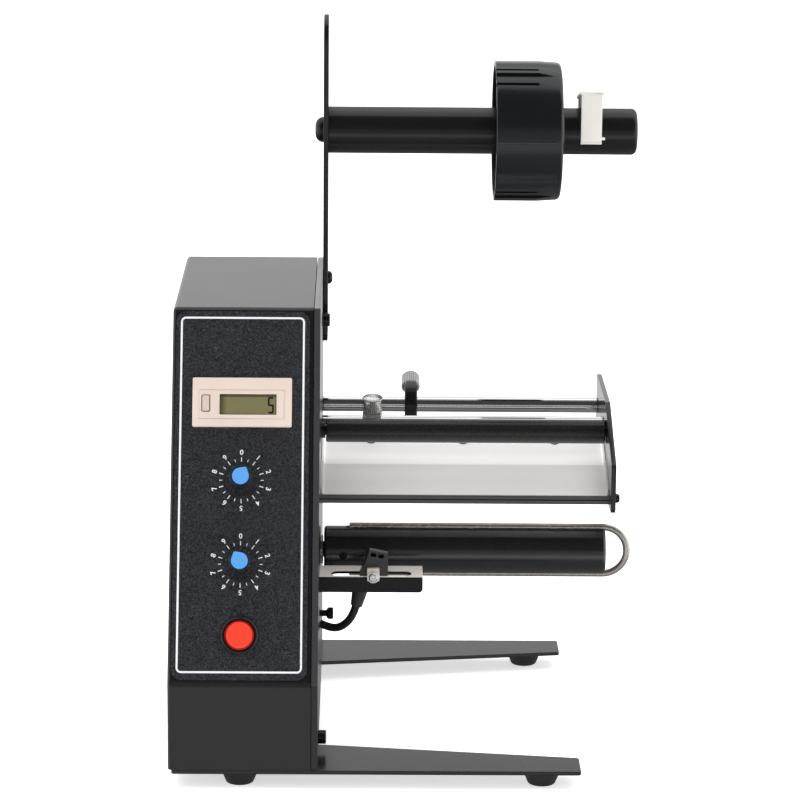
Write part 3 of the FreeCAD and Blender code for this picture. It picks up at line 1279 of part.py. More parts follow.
def make_sensor_clamp():
    """Plated strap down the sensor's front and over the lip, with the screw that pinches the lip."""
    x = clamp_middle()
    y1 = BRACKET_Y - SEAT
    y0 = y1 - CLAMP_THICK
    high = BRACKET_Z + CLAMP_ABOVE
    low = BRACKET_Z - CLAMP_BELOW
    strap = box(x - CLAMP_W / 2, x + CLAMP_W / 2, y0, y1, low, high)
    foot = box(x - CLAMP_W / 2, x + CLAMP_W / 2, y0, SENSOR_Y0, high - 2.5, high)
    strap = rounded(strap.fuse(foot).removeSplitter(), 1.2, Y_AXIS, lambda middle: middle.z < low + 0.1)
    z = BRACKET_Z + CLAMP_SCREW_UP
    hole = Part.makeCylinder(1.25, 6, Vector(x, y1 + 1, z), Y_AXIS * -1)
    save("sensor_clamp", strap.cut(hole))
    washer = Part.makeCylinder(CLAMP_WASHER_D / 2, CLAMP_WASHER, Vector(x, y0, z), Y_AXIS * -1)
    head = Part.makeCylinder(CLAMP_SCREW_D / 2, CLAMP_SCREW_HEAD, Vector(x, y0 - CLAMP_WASHER, z), Y_AXIS * -1)
    rim = [edge for edge in head.Edges if edge.BoundBox.YMax < y0 - CLAMP_WASHER - CLAMP_SCREW_HEAD + 1e-3]
    head = head.makeFillet(0.9, rim)
    shank = Part.makeCylinder(1.25, CLAMP_THICK, Vector(x, y0, z), Y_AXIS)
    save("sensor_screw", washer.fuse([head, shank]).removeSplitter())


def cable_path(route):
    """Straight runs joined by arcs, each as large as its two runs allow. Prints the radii."""
    edges = []
    start = route[0]
    for previous, corner, following in zip(route, route[1:], route[2:]):
        run_in = corner - previous
        run_out = following - corner
        turn = run_in.getAngle(run_out)
        reach = 0.45 * min(run_in.Length, run_out.Length)
        radius = reach / math.tan(turn / 2)
        towards = Vector(run_in).normalize()
        away = Vector(run_out).normalize()
        first = corner - towards * reach
        last = corner + away * reach
        inward = (away - towards).normalize()
        centre = corner + inward * (radius / math.cos(turn / 2))
        middle = centre - inward * radius
        edges.append(Part.LineSegment(start, first).toShape())
        edges.append(Part.Arc(first, middle, last).toShape())
        start = last
        print("cable radius", round(radius, 1), "turn", round(math.degrees(turn), 1))
    edges.append(Part.LineSegment(start, route[-1]).toShape())
    return Part.Wire(edges)


def make_sensor_cable():
    path = cable_path(CABLE_ROUTE)
    direction = CABLE_ROUTE[1] - CABLE_ROUTE[0]
    section = Part.Wire(Part.makeCircle(CABLE_D / 2, CABLE_ROUTE[0], direction))
    tube = path.makePipeShell([section], True, False)
    print("cable", round(tube.Volume, 1), "expected", round(math.pi * CABLE_D ** 2 / 4 * path.Length, 1),
          "length", round(path.Length, 2))
    save("sensor_cable", tube)


def make_cable_grommet():
    """Rubber ring in the side plate; it backs the end of the lead."""
    y, z = CABLE_HOLE.y, CABLE_HOLE.z
    lip = GROMMET_D / 2
    neck = GROMMET_HOLE_D / 2
    x0, x1 = SIDE_IN - GROMMET_LIP, SIDE_OUT
    save("cable_grommet", revolve_x([(x0, 0), (x0, lip), (SIDE_IN, lip), (SIDE_IN, neck), (x1, neck), (x1, 0)], y, z))


# ---- controls -------------------------------------------------------------------------------------------------------
def make_control_overlay():
    """Thin printed sheet over the slope, with round corners."""
    width = HOUSING_WIDTH - 2 * OVERLAY_MARGIN
    length = PANEL_LENGTH - 2 * OVERLAY_MARGIN
    sheet = panel_rectangle(width, length, 0.0, OVERLAY_THICK)
    sheet = rounded(sheet, OVERLAY_CORNER, Z_AXIS)
    save("control_overlay", on_panel(sheet, PANEL_LENGTH / 2).cut(panel_openings()))


def make_counter():
    """Panel counter: bevelled bezel, window with its display, reset key and a body through the panel."""
    z0, z1 = OVERLAY_THICK, OVERLAY_THICK + COUNTER_FACE
    bezel = panel_rectangle(COUNTER_W, COUNTER_H, z0, z1)
    bezel = bezel.makeChamfer(0.6, [edge for edge in bezel.Edges if edge.BoundBox.ZMin > z1 - 1e-6])
    body = panel_rectangle(COUNTER_BODY_W, COUNTER_BODY_H, z1 - COUNTER_BODY, z0)
    window = panel_rectangle(LCD_W, LCD_H, z1 - LCD_RECESS, z1 + 1, LCD_SHIFT, -LCD_DOWN)
    key_floor = z1 - KEY_TRAVEL - 1.4
    pocket = panel_rectangle(KEY_W + 2 * SEAT, KEY_H + 2 * SEAT, key_floor, z1 + 1, KEY_SHIFT, -KEY_DOWN)
    save("counter_case", on_panel(bezel.fuse(body).cut([window, pocket]).removeSplitter(), COUNTER_UP))
    glass = panel_rectangle(LCD_W, LCD_H, z1 - LCD_RECESS, z1 - LCD_RECESS / 2, LCD_SHIFT, -LCD_DOWN)
    save("counter_lcd", on_panel(glass, COUNTER_UP))
    key = panel_rectangle(KEY_W, KEY_H, key_floor + KEY_TRAVEL + 0.1, z1 + KEY_PROUD, KEY_SHIFT, -KEY_DOWN)
    key = key.makeFillet(0.3, [edge for edge in key.Edges if edge.BoundBox.ZMin > z1])
    save("counter_reset_key", on_panel(key, COUNTER_UP))


def make_pots():
    """Two potentiometers behind the panel: can, threaded bush and nut."""
    behind = -SHEET
    nut_top = OVERLAY_THICK + POT_NUT_THICK
    solids = []
    for place in (SPEED_UP, LENGTH_UP):
        can = disc(POT_BODY_D / 2, behind - POT_BODY, behind)
        bush = disc(POT_BUSH_D / 2, behind, nut_top)
        lugs = panel_rectangle(POT_BODY_D * 0.7, 3.0, behind - POT_BODY + 1, behind - POT_BODY + 2.2, 0, POT_BODY_D / 2)
        pot = can.fuse([bush, lugs]).cut(disc(POT_SHAFT_D / 2 + SLIP, behind - POT_BODY / 2, nut_top + 1))
        corner = POT_NUT / 2 / math.cos(math.pi / 6)
        flats = [(corner * math.cos(math.pi * k / 3), corner * math.sin(math.pi * k / 3)) for k in range(6)]
        nut = prism_z(flats, OVERLAY_THICK, nut_top).cut(disc(POT_BUSH_D / 2, 0, nut_top + 1))
        solids += [on_panel(pot.removeSplitter(), place), on_panel(nut, place)]
    save("panel_pots", *solids)


def knob_shape():
    """Fluted knob with a flange, hollow round the nut, on the potentiometer's shaft."""
    foot = OVERLAY_THICK + KNOB_LIFT
    top = foot + KNOB_HEIGHT
    hollow = POT_NUT / 2 / math.cos(math.pi / 6) + SEAT
    ceiling = OVERLAY_THICK + POT_NUT_THICK + KNOB_LIFT
    knob = revolve_z([
        (hollow, foot), (KNOB_FLANGE_D / 2, foot), (KNOB_FLANGE_D / 2, foot + 0.8),
        (KNOB_D / 2 + 1.0, ceiling + 0.6), (KNOB_D / 2, ceiling + 1.4), (KNOB_TOP_D / 2, top - 0.8),
        (KNOB_TOP_D / 2 - 0.8, top), (0, top), (0, ceiling), (hollow, ceiling),
    ])
    flutes = []
    for index in range(KNOB_FLUTES):
        angle = 2 * math.pi * index / KNOB_FLUTES
        reach = KNOB_D / 2 + 0.15
        flutes.append(disc(0.45, ceiling + 2.2, top + 1, reach * math.cos(angle), reach * math.sin(angle)))
    shaft = disc(POT_SHAFT_D / 2, -SHEET - POT_BODY / 2 + 0.3, top - 2.0)
    return knob.cut(flutes + [shaft]), shaft


def cap_shape(pointer):
    """Drop-shaped coloured cap whose tip is the pointer, turned clockwise from the top of the dial."""
    z0 = OVERLAY_THICK + KNOB_LIFT + KNOB_HEIGHT
    radius = CAP_D / 2
    touch = math.acos(radius / CAP_POINT)
    tangent = (radius * math.sin(touch), radius * math.cos(touch))
    beak = prism_z([(0, 0), tangent, (0, CAP_POINT), (-tangent[0], tangent[1])], z0, z0 + CAP_THICK)
    cap = disc(radius, z0, z0 + CAP_THICK).fuse(beak).removeSplitter()
    cap.rotate(Vector(0, 0, 0), Z_AXIS, -pointer)
    return cap


def make_knobs():
    for name, place, pointer in (("length_knob", LENGTH_UP, LENGTH_POINTER), ("speed_knob", SPEED_UP, SPEED_POINTER)):
        knob, shaft = knob_shape()
        save(name, on_panel(knob, place), on_panel(shaft, place))
        save(name + "_cap", on_panel(cap_shape(pointer), place))


def make_power_switch():
    """Push switch: bezel and threaded barrel, ring nut behind the sheet, lens and its spring."""
    bezel_top = OVERLAY_THICK + BEZEL_THICK
    lens_r = LENS_D / 2
    well = lens_r + 0.2
    barrel_r = SWITCH_BARREL_D / 2
    floor = OVERLAY_THICK - SWITCH_DEPTH + 6.0
    body = revolve_z([
        (well, bezel_top), (BEZEL_D / 2 - 0.7, bezel_top), (BEZEL_D / 2, bezel_top - 0.7), (BEZEL_D / 2, OVERLAY_THICK),
        (barrel_r, OVERLAY_THICK), (barrel_r, OVERLAY_THICK - SWITCH_DEPTH), (0, OVERLAY_THICK - SWITCH_DEPTH),
        (0, floor), (well, floor),
    ])
    nut = disc(barrel_r + 2.5, -SHEET - 2.5, -SHEET).cut(disc(barrel_r, -SHEET - 3, 0))
    save("power_switch_body", on_panel(body, BUTTON_UP), on_panel(nut, BUTTON_UP))
    lens_top = bezel_top + LENS_PROUD
    lens_foot = floor + BUTTON_TRAVEL + (SPRING_TURNS + 1) * SPRING_WIRE + 0.2
    lens = revolve_z([(0, lens_foot), (lens_r, lens_foot), (lens_r, lens_top - LENS_BEVEL),
                      (lens_r - LENS_BEVEL, lens_top), (0, lens_top)])
    save("power_button", on_panel(lens, BUTTON_UP))
    save("button_spring", on_panel(flat_wire_spring(floor, lens_foot), BUTTON_UP))


def flat_wire_spring(low, high):
    """Coil spring of square wire between two heights, clear of both by a twentieth of a millimetre."""
    half = SPRING_WIRE / 2
    play = 0.05
    free = high - low - SPRING_WIRE - 2 * play
    helix = Part.makeLongHelix(free / SPRING_TURNS, free, SPRING_D / 2)
    inner, outer = SPRING_D / 2 - half, SPRING_D / 2 + half
    corners = [Vector(inner, 0, -half), Vector(outer, 0, -half), Vector(outer, 0, half), Vector(inner, 0, half)]
    section = Part.makePolygon(corners + corners[:1])
    spring = Part.Wire(helix.Edges).makePipeShell([section], True, True)
    spring.translate(Vector(0, 0, low + half + play))
    return spring


# ---- electrics ---------------------------------------------------------------------------------------------------------
def make_control_board():
    """Circuit board on pillars from the side plate, with its relays, capacitors and terminal rows."""
    y0, z0 = back(BOARD_BACK), up(BOARD_UP)
    x1 = SIDE_IN - BOARD_STANDOFF
    x0 = x1 - BOARD_THICK
    board = box(x0, x1, y0, y0 + BOARD_W, z0, z0 + BOARD_H)
    pillars = []
    for b, h in PILLAR_PLACES:
        pillar = bar_x(x1, SIDE_IN, back(b), up(h), PILLAR_D)
        if (b, h) in CAP_SCREW_PLACES:
            pillar = pillar.cut(bar_x(SIDE_IN - TAB_THICK, SIDE_IN + 1, back(b), up(h), CAP_SCREW_D))
        pillars.append(pillar)
    y1, z1 = y0 + PART_MARGIN, z0 + PART_MARGIN
    relays = [on_board(x0, y1, z1 + step * RELAY_PITCH, RELAY) for step in range(2)]
    y1 += RELAY[1] + PART_MARGIN
    terminals = [on_board(x0, y1 + step * TERMINAL_PITCH, z1, TERMINAL) for step in range(2)]
    y1 += PART_MARGIN + CAPACITOR_D / 2
    z1 += TERMINAL[2] + PART_MARGIN + CAPACITOR_D / 2
    capacitors = [bar_x(x0 - CAPACITOR_LENGTH, x0, y1 + step * CAPACITOR_PITCH, z1, CAPACITOR_D) for step in range(2)]
    save("control_board", board, *(pillars + relays + terminals + capacitors))


def on_board(x, y, z, size):
    """Block on the board's far side from the side plate."""
    depth, width, height = size
    return box(x - depth, x, y, y + width, z, z + height)


def make_transformer():
    """Mains transformer on the deck: laminated core on a foot plate, with its round-cornered coil."""
    x = LEFT + SHEET + (HOUSING_WIDTH - SHEET) / 2
    y = back(CORE_BACK)
    seat = DECK + CORE_FOOT
    reach = CORE_W / 2 + CORE_FOOT_LAP
    foot = box(x - reach, x + reach, y - CORE_D / 2, y + CORE_D / 2, DECK, seat)
    core = box(x - CORE_W / 2, x + CORE_W / 2, y - CORE_D / 2, y + CORE_D / 2, seat, seat + CORE_H)
    lift = seat + (CORE_H - COIL_H) / 2
    coil = box(x - COIL_W / 2, x + COIL_W / 2, y - COIL_D / 2, y + COIL_D / 2, lift, lift + COIL_H)
    coil = rounded(coil, COIL_CORNER, Z_AXIS)
    save("power_transformer", foot.fuse([core, coil]).removeSplitter())


def make_power_inlet():
    """Mains inlet in the rear wall: flange, body, socket and three flat pins."""
    x = PANEL_MIDDLE
    z0 = up(INLET_UP)
    middle = z0 + INLET_H / 2
    flange = box(x - INLET_W / 2 - INLET_LAP, x + INLET_W / 2 + INLET_LAP, REAR, REAR + INLET_FLANGE,
                 z0 - INLET_LAP, z0 + INLET_H + INLET_LAP)
    flange = rounded(flange, 2.0, Y_AXIS)
    body = box(x - INLET_W / 2 + SLIP, x + INLET_W / 2 - SLIP, REAR - INLET_DEPTH, REAR, z0 + SLIP,
               z0 + INLET_H - SLIP)
    mouth = REAR + INLET_FLANGE
    socket = box(x - SOCKET_W / 2, x + SOCKET_W / 2, mouth - SOCKET_DEPTH, mouth + 1, middle - SOCKET_H / 2,
                 middle + SOCKET_H / 2)
    pins = []
    for offset, rise in ((-7.0, -2.0), (0.0, 2.0), (7.0, -2.0)):
        pins.append(box(x + offset - 1, x + offset + 1, mouth - SOCKET_DEPTH - 1, mouth - PIN_RECESS,
                        middle + rise - 2, middle + rise + 2))
    save("power_inlet", flange.fuse(body).cut(socket).fuse(pins).removeSplitter())


# ---- build ------------------------------------------------------------------------------------------------------------------
make_base_plate()
make_feet()
make_side_plate()
make_housing_cover()
make_cover_screws()
make_side_plate_screws()
make_cable_post()
make_control_overlay()
make_counter()
make_pots()
make_knobs()
make_power_switch()
make_control_board()
make_transformer()
make_power_inlet()
make_roll_arm()
make_arm_bolts()
make_roll_shaft()
make_hub_bush()
make_core_hub()
make_stop_clip()
make_guide_rods()
make_frame_screws()
make_pressure_roller()
make_peel_plate()
make_end_plate()
make_guides()
make_gearbox()
make_gears()
make_motor()
make_output_bush()
make_takeup_roller()
make_paper_clip()
make_sensor_bracket()
make_sensor()
make_sensor_clamp()
make_sensor_cable()
make_cable_grommet()
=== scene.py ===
import math

import bpy
from bpy.props import FloatProperty, FloatVectorProperty, IntProperty, PointerProperty
from mathutils import Matrix, Vector


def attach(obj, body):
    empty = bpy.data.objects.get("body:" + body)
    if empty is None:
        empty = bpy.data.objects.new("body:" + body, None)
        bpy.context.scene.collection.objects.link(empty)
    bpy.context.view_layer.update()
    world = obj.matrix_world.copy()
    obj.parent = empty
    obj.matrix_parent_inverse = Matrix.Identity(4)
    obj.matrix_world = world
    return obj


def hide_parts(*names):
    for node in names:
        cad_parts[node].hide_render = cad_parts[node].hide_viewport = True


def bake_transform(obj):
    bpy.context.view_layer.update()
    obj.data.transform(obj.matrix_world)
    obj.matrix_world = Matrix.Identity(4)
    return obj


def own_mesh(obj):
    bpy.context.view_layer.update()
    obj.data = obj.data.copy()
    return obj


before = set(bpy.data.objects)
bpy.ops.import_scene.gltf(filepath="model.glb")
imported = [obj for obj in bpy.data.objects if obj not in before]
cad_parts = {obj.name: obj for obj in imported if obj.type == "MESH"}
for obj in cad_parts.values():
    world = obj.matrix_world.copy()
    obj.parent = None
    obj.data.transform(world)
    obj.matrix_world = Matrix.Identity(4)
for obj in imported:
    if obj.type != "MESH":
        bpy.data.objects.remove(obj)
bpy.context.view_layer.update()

bl_info = {
    "name": "Label Dispenser Finishes",
    "version": (1, 0, 0),
    "blender": (4, 5, 0),
    "location": "View3D > Sidebar > Dispenser",
    "description": "Builds the finished surfaces of a desk-top label dispenser round its working parts",
    "category": "Mesh",
}

MM = 0.001


def mm(*values):
    return Vector(values) * MM


# ---- the machine's main planes and spots, in millimetres -----------------------------------------
LEFT, FRONT, REAR = -116.5, -112.0, 94.0
DECK = 9.0                                  # top of the base plate
HOUSING_WIDTH, HOUSING_HEIGHT = 68.5, 210.7
SKIRT = 43.5                                # upright front below the sloping panel
SETBACK = 75.0                              # how far back the slope leads
SHEET = 1.5
SIDE_IN, SIDE_OUT = -47.7, -44.7            # the side plate's faces
ARM_OUT = -42.2
END_IN, END_OUT = 99.8, 102.3               # the end plate's faces
TAB_YS = (FRONT + 38, REAR - 38)            # tabs of the base that the left wall is screwed to
TAB_XS = tuple(LEFT + HOUSING_WIDTH * share for share in (0.16, 0.84))     # and those of the rear wall
INLET_Z = DECK + 38.0

# The slope of the panel: what stands on it, by its distance up the slope, and the holes for it.
PANEL_MIDDLE = LEFT + HOUSING_WIDTH / 2
TILT = math.atan2(SETBACK, HOUSING_HEIGHT - SKIRT)
PANEL_LENGTH = math.hypot(SETBACK, HOUSING_HEIGHT - SKIRT)
FILM = 0.5
SWITCH_UP, SPEED_UP, LENGTH_UP, COUNTER_UP = 23.1, 57.5, 98.3, 136.2
PANEL_HOLES = ((SPEED_UP, 4.55), (LENGTH_UP, 4.55), (SWITCH_UP, 8.15))
COUNTER_HOLE = (45.2, 22.0)
LCD = (27.5, 10.1, 2.85, -1.1)              # width, height, and middle from the counter's middle
KEY_MIDDLE = (-17.55, -0.6)                 # of the reset key, from the counter's middle
PRINT = 0.05                                # thickness of printed marks

# The web's path, as (y, z) or as one of them.
SHAFT = (76.0, 289.8)
ROD_Z = 144.0
REAR_ROD_Y, FRONT_ROD_Y, ROLLER_Y = 78.0, 37.0, 21.0
TAKEUP = (5.5, 85.7)
TAKEUP_GROOVE = 12.25                       # the paper clip's wires, from the take-up's axis
HUB_X, HUB_WIDTH = 43.0, 34.0
LEAD_HOLE = (-28.0, 56.6)

# The sensor and its bracket.
BRACKET_Y, BRACKET_Z = -40.0, 84.7
BRACKET_WIDTH, BRACKET_DEPTH, BRACKET_DROP = 51.1, 19.0, 8.2
SENSOR_X, SENSOR_WIDTH = -25.0, 14.1
SENSOR_FRONT, SENSOR_REAR = -38.5, -30.5

# The peel plate, by distances behind the front edge and above the deck.
LIP, PEEL_EDGE, CREASE, PEEL_SCREWS, PEEL_END = 95.8, 97.0, 121.0, 141.0, 145.0
CREASE_UP = 120.5
FRONT_SLOPE, REAR_SLOPE = 21.5, 19.5        # degrees
PEEL_SHEET = 1.5


def peel_height(distance):
    """Top of the peel plate above the deck, at a distance behind the front edge."""
    slope = FRONT_SLOPE if distance < CREASE else REAR_SLOPE
    return CREASE_UP + (distance - CREASE) * math.tan(math.radians(slope))


# ---- placing -------------------------------------------------------------------------------------
def on_panel(distance_up, x=PANEL_MIDDLE):
    """Matrix of a spot on the slope: x to the right, y up the slope, z out of it.
    As in every place, the spot is given in millimetres and the matrix is in metres."""
    along = Vector((0, math.sin(TILT), math.cos(TILT)))
    outward = Vector((0, -math.cos(TILT), math.sin(TILT)))
    spot = Vector((x, FRONT, DECK + SKIRT)) + along * distance_up
    turn = Matrix((Vector((1, 0, 0)), along, outward)).transposed().to_4x4()
    return Matrix.Translation(spot * MM) @ turn


def placed(x, y, z, *rows):
    return Matrix.Translation(mm(x, y, z)) @ Matrix(rows).to_4x4()


def along_x(x, y, z):
    """Matrix whose z runs along +X, whose x points to -Y and whose y points up."""
    return placed(x, y, z, (0, 0, 1), (-1, 0, 0), (0, 1, 0))


def facing_front(x, y, z):
    """Matrix whose z points to the front, whose x runs to the right and whose y points up."""
    return placed(x, y, z, (1, 0, 0), (0, 0, -1), (0, 1, 0))


def facing_rear(x, y, z):
    """Matrix whose z points to the rear, whose x runs to the left and whose y points up."""
    return placed(x, y, z, (-1, 0, 0), (0, 0, 1), (0, 1, 0))


def upright(x, y, z):
    return Matrix.Translation(mm(x, y, z))


ABOUT = Matrix.Rotation(math.pi, 4, "Y")      # turns a place to face the other way


def leaning_back(x, y, z, degrees):
    """Matrix whose z leans from upright towards +Y."""
    return upright(x, y, z) @ Matrix.Rotation(-math.radians(degrees), 4, "X")


# ---- modelling -----------------------------------------------------------------------------------
def rest():
    if bpy.context.object is not None and bpy.context.object.mode != "OBJECT":
        bpy.ops.object.mode_set(mode="OBJECT")
    bpy.ops.object.select_all(action="DESELECT")


def pick(piece):
    rest()
    piece.select_set(True)
    bpy.context.view_layer.objects.active = piece


def edit(piece, kind="VERT"):
    pick(piece)
    bpy.ops.object.mode_set(mode="EDIT")
    bpy.ops.mesh.select_mode(type=kind)
    bpy.ops.mesh.select_all(action="SELECT")


def done(piece):
    bpy.ops.object.mode_set(mode="OBJECT")
    return piece


def tidy(piece, outward=True):
    """Merge doubled points and turn the faces outwards."""
    edit(piece)
    bpy.ops.mesh.remove_doubles(threshold=1e-6)
    if outward:
        bpy.ops.mesh.normals_make_consistent(inside=False)
    return done(piece)


def settle(piece, place):
    """Put a piece where it belongs, with its place in its mesh.
    A place that mirrors it leaves its faces pointing inwards, so they are turned out again."""
    pick(piece)
    piece.matrix_world = place
    bpy.ops.object.transform_apply(location=True, rotation=True, scale=True)
    if place.to_3x3().determinant() < 0:
        edit(piece, "FACE")
        bpy.ops.mesh.flip_normals()
        done(piece)
    return piece


def named(name):
    piece = bpy.context.object
    piece.name = name
    piece.data.name = name
    return piece


def block(name, low, high):
    """A block between two corners, in millimetres."""
    rest()
    low, high = mm(*low), mm(*high)
    bpy.ops.mesh.primitive_cube_add(size=1, location=(low + high) / 2)
    piece = named(name)
    piece.scale = high - low
    bpy.ops.object.transform_apply(location=True, rotation=True, scale=True)
    return piece


def turned(name, stations, place, sides, ring=False):
    """A turned piece: a circle drawn out and resized from station to station, each (along, radius).
    A ring closes from its last station back to its first."""
    rest()
    if ring:
        stations = [*stations, stations[0]]
    height, radius = stations[0]
    fill = "NOTHING" if ring else "NGON"
    bpy.ops.mesh.primitive_circle_add(vertices=sides, radius=radius * MM, fill_type=fill,
                                      location=(0, 0, height * MM))
    piece = named(name)
    bpy.ops.object.transform_apply(location=True)
    edit(piece)
    for next_height, next_radius in stations[1:]:
        lift = (0, 0, (next_height - height) * MM)
        bpy.ops.mesh.extrude_region_move(TRANSFORM_OT_translate={"value": lift})
        ratio = max(next_radius, 1e-5) / radius
        bpy.ops.transform.resize(value=(ratio, ratio, 1), center_override=(0, 0, next_height * MM))
        height, radius = next_height, max(next_radius, 1e-5)
    done(piece)
    tidy(piece)
    return settle(piece, place)


def prism(name, outline, place, depth, lift=0.0):
    """A closed outline of (x, y) points drawn out along the place's z."""
    rest()
    bpy.ops.mesh.primitive_circle_add(vertices=len(outline), radius=1, fill_type="NGON")
    piece = named(name)
    for point, (x, y) in zip(piece.data.vertices, outline):
        point.co = mm(x, y, lift)
    edit(piece, "FACE")
    bpy.ops.mesh.extrude_region_move(TRANSFORM_OT_translate={"value": (0, 0, depth * MM)})
    done(piece)
    tidy(piece)
    return settle(piece, place)


def side_prism(name, outline, x0, x1):
    """A (y, z) outline drawn out along X, from x0 to x1."""
    return prism(name, [(-y, z) for y, z in outline], along_x(x0, 0, 0), x1 - x0)


def rounded(height, radius, rise, inset, steps):
    """Stations of a quarter turn that starts at a height and a radius, rises and draws in."""
    turns = [math.pi / 2 * step / steps for step in range(1, steps + 1)]
    return [(height + rise * math.sin(turn), radius - inset * (1 - math.cos(turn))) for turn in turns]


def flute(piece, count, ratio, test):
    """Grooves round a turned piece: every fourth line is drawn in, where the test of a point's distance
    from the axis and of its height, in metres, holds."""
    edit(piece)
    bpy.ops.mesh.select_all(action="DESELECT")
    bpy.ops.object.mode_set(mode="OBJECT")
    for point in piece.data.vertices:
        x, y, z = point.co
        turn = math.atan2(y, x) * count * 4 / (2 * math.pi)
        point.select = test(math.hypot(x, y), z) and round(turn) % 4 == 0
    bpy.ops.object.mode_set(mode="EDIT")
    bpy.ops.transform.resize(value=(ratio, ratio, 1), center_override=(0, 0, 0))
    return done(piece)


def round_corners(corners, radii, steps=6):
    """An outline whose corners are rounded, each by its own radius."""
    points = []
    count = len(corners)
    for index, corner in enumerate(corners):
        radius = radii[index] if isinstance(radii, (list, tuple)) else radii
        here = Vector(corner)
        before = Vector(corners[index - 1]) - here
        after = Vector(corners[(index + 1) % count]) - here
        if radius <= 0:
            points.append((here.x, here.y))
            continue
        half = before.angle(after) / 2
        reach = min(radius / math.tan(half), 0.49 * before.length, 0.49 * after.length)
        radius = reach * math.tan(half)
        centre = here + (before.normalized() + after.normalized()).normalized() * (radius / math.sin(half))
        first = here + before.normalized() * reach - centre
        last = here + after.normalized() * reach - centre
        sweep = first.angle_signed(last)
        for step in range(steps + 1):
            turn = Matrix.Rotation(-sweep * step / steps, 2)
            spot = centre + turn @ first
            points.append((spot.x, spot.y))
    return points


def rectangle(width, height, x=0.0, y=0.0, radius=0.0, steps=6):
    corners = [(x - width / 2, y - height / 2), (x + width / 2, y - height / 2),
               (x + width / 2, y + height / 2), (x - width / 2, y + height / 2)]
    return round_corners(corners, radius, steps) if radius > 0 else corners


def circle(radius, x=0.0, y=0.0, steps=48):
    return [(x + radius * math.cos(2 * math.pi * k / steps), y + radius * math.sin(2 * math.pi * k / steps))
            for k in range(steps)]


def modify(piece, kind, **settings):
    pick(piece)
    modifier = piece.modifiers.new(kind.title(), kind)
    for key, value in settings.items():
        setattr(modifier, key, value)
    bpy.ops.object.modifier_apply(modifier=modifier.name)
    return piece


def soften(piece, width, segments=2, angle=35.0):
    """Round the sharp edges over, as a tool or a mould leaves them."""
    return modify(piece, "BEVEL", width=width * MM, segments=segments, limit_method="ANGLE",
                  angle_limit=math.radians(angle), use_clamp_overlap=True, harden_normals=False)


def cut(piece, *cutters, operation="DIFFERENCE"):
    """Take the cutters out of a piece."""
    for cutter in cutters:
        modify(piece, "BOOLEAN", operation=operation, object=cutter, solver="EXACT")
        bpy.data.objects.remove(cutter)
    return piece


def weld(piece, other):
    """Make one solid of two."""
    return cut(piece, other, operation="UNION")


def join(name, *pieces):
    pick(pieces[0])
    for piece in pieces:
        piece.select_set(True)
    bpy.ops.object.join()
    return named(name)


def linked(name, data):
    """A new object in the scene."""
    made = bpy.data.objects.new(name, data)
    bpy.context.scene.collection.objects.link(made)
    return made


def wire(name, spots, diameter, roundness):
    """Round wire along spots, given in metres."""
    data = bpy.data.curves.new(name, "CURVE")
    data.dimensions = "3D"
    data.bevel_depth = diameter / 2 * MM
    data.bevel_resolution = roundness
    data.use_fill_caps = True
    spline = data.splines.new("POLY")
    spline.points.add(len(spots) - 1)
    for point, spot in zip(spline.points, spots):
        point.co = (*spot, 1.0)
    pick(linked(name, data))
    bpy.ops.object.convert(target="MESH")
    return tidy(named(name))


def smooth(piece, angle=30.0):
    """Smooth shading up to an angle, led by the large faces: flat sheet stays flat beside its bends."""
    pick(piece)
    bpy.ops.object.shade_smooth_by_angle(angle=math.radians(angle))
    return modify(piece, "WEIGHTED_NORMAL", mode="FACE_AREA", weight=50, keep_sharp=True)


def dress(piece, body, finish, node=None, angle=30.0):
    """Shade a piece, give it its finish, let it ride on its body and stand for its node."""
    smooth(piece, angle)
    piece.data.materials.clear()
    piece.data.materials.append(finishes[finish])
    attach(piece, body)
    if node:
        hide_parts(node)


# ---- finishes ------------------------------------------------------------------------------------
class Value:
    """A socket that takes part in Python expressions."""

    def __init__(self, paint, socket):
        self.paint = paint
        self.socket = socket

    def _with(self, operation, first, second):
        return self.paint.node("ShaderNodeMath", {"operation": operation}, {0: first, 1: second})

    def __add__(self, other):
        return self._with("ADD", self, other)

    __radd__ = __add__

    def __sub__(self, other):
        return self._with("SUBTRACT", self, other)

    def __rsub__(self, other):
        return self._with("SUBTRACT", other, self)

    def __mul__(self, other):
        return self._with("MULTIPLY", self, other)

    __rmul__ = __mul__

    def __truediv__(self, other):
        return self._with("DIVIDE", self, other)

    def between(self, low, high, to_low=0.0, to_high=1.0):
        """Ease from to_low to to_high as the value goes from low to high."""
        return self.paint.node("ShaderNodeMapRange", {"interpolation_type": "SMOOTHSTEP"}, {
            "Value": self, "From Min": low, "From Max": high, "To Min": to_low, "To Max": to_high})


class Nodes:
    """A node tree, and the one way in which nodes are added to it."""

    def __init__(self, tree):
        self.tree = tree

    def feed(self, socket, value):
        """A constant goes on the socket; what varies is linked to it."""
        if isinstance(value, Value):
            self.tree.links.new(value.socket, socket)
        else:
            socket.default_value = value

    def node(self, kind, settings=None, inputs=None, output=0):
        made = self.tree.nodes.new(kind)
        for key, value in (settings or {}).items():
            if key == "stops":
                ramp = made.color_ramp
                for place, shade in value[1:-1]:
                    ramp.elements.new(place)
                for element, (place, shade) in zip(ramp.elements, value):
                    element.position = place
                    element.color = (shade, shade, shade, 1.0)
            else:
                setattr(made, key, value)
        for key, value in (inputs or {}).items():
            self.feed(made.inputs[key], value)
        return Value(self, made.outputs[output])

    def split(self, where):
        """The three parts of a vector."""
        first = self.node("ShaderNodeSeparateXYZ", None, {0: where})
        return [Value(self, part) for part in first.socket.node.outputs]


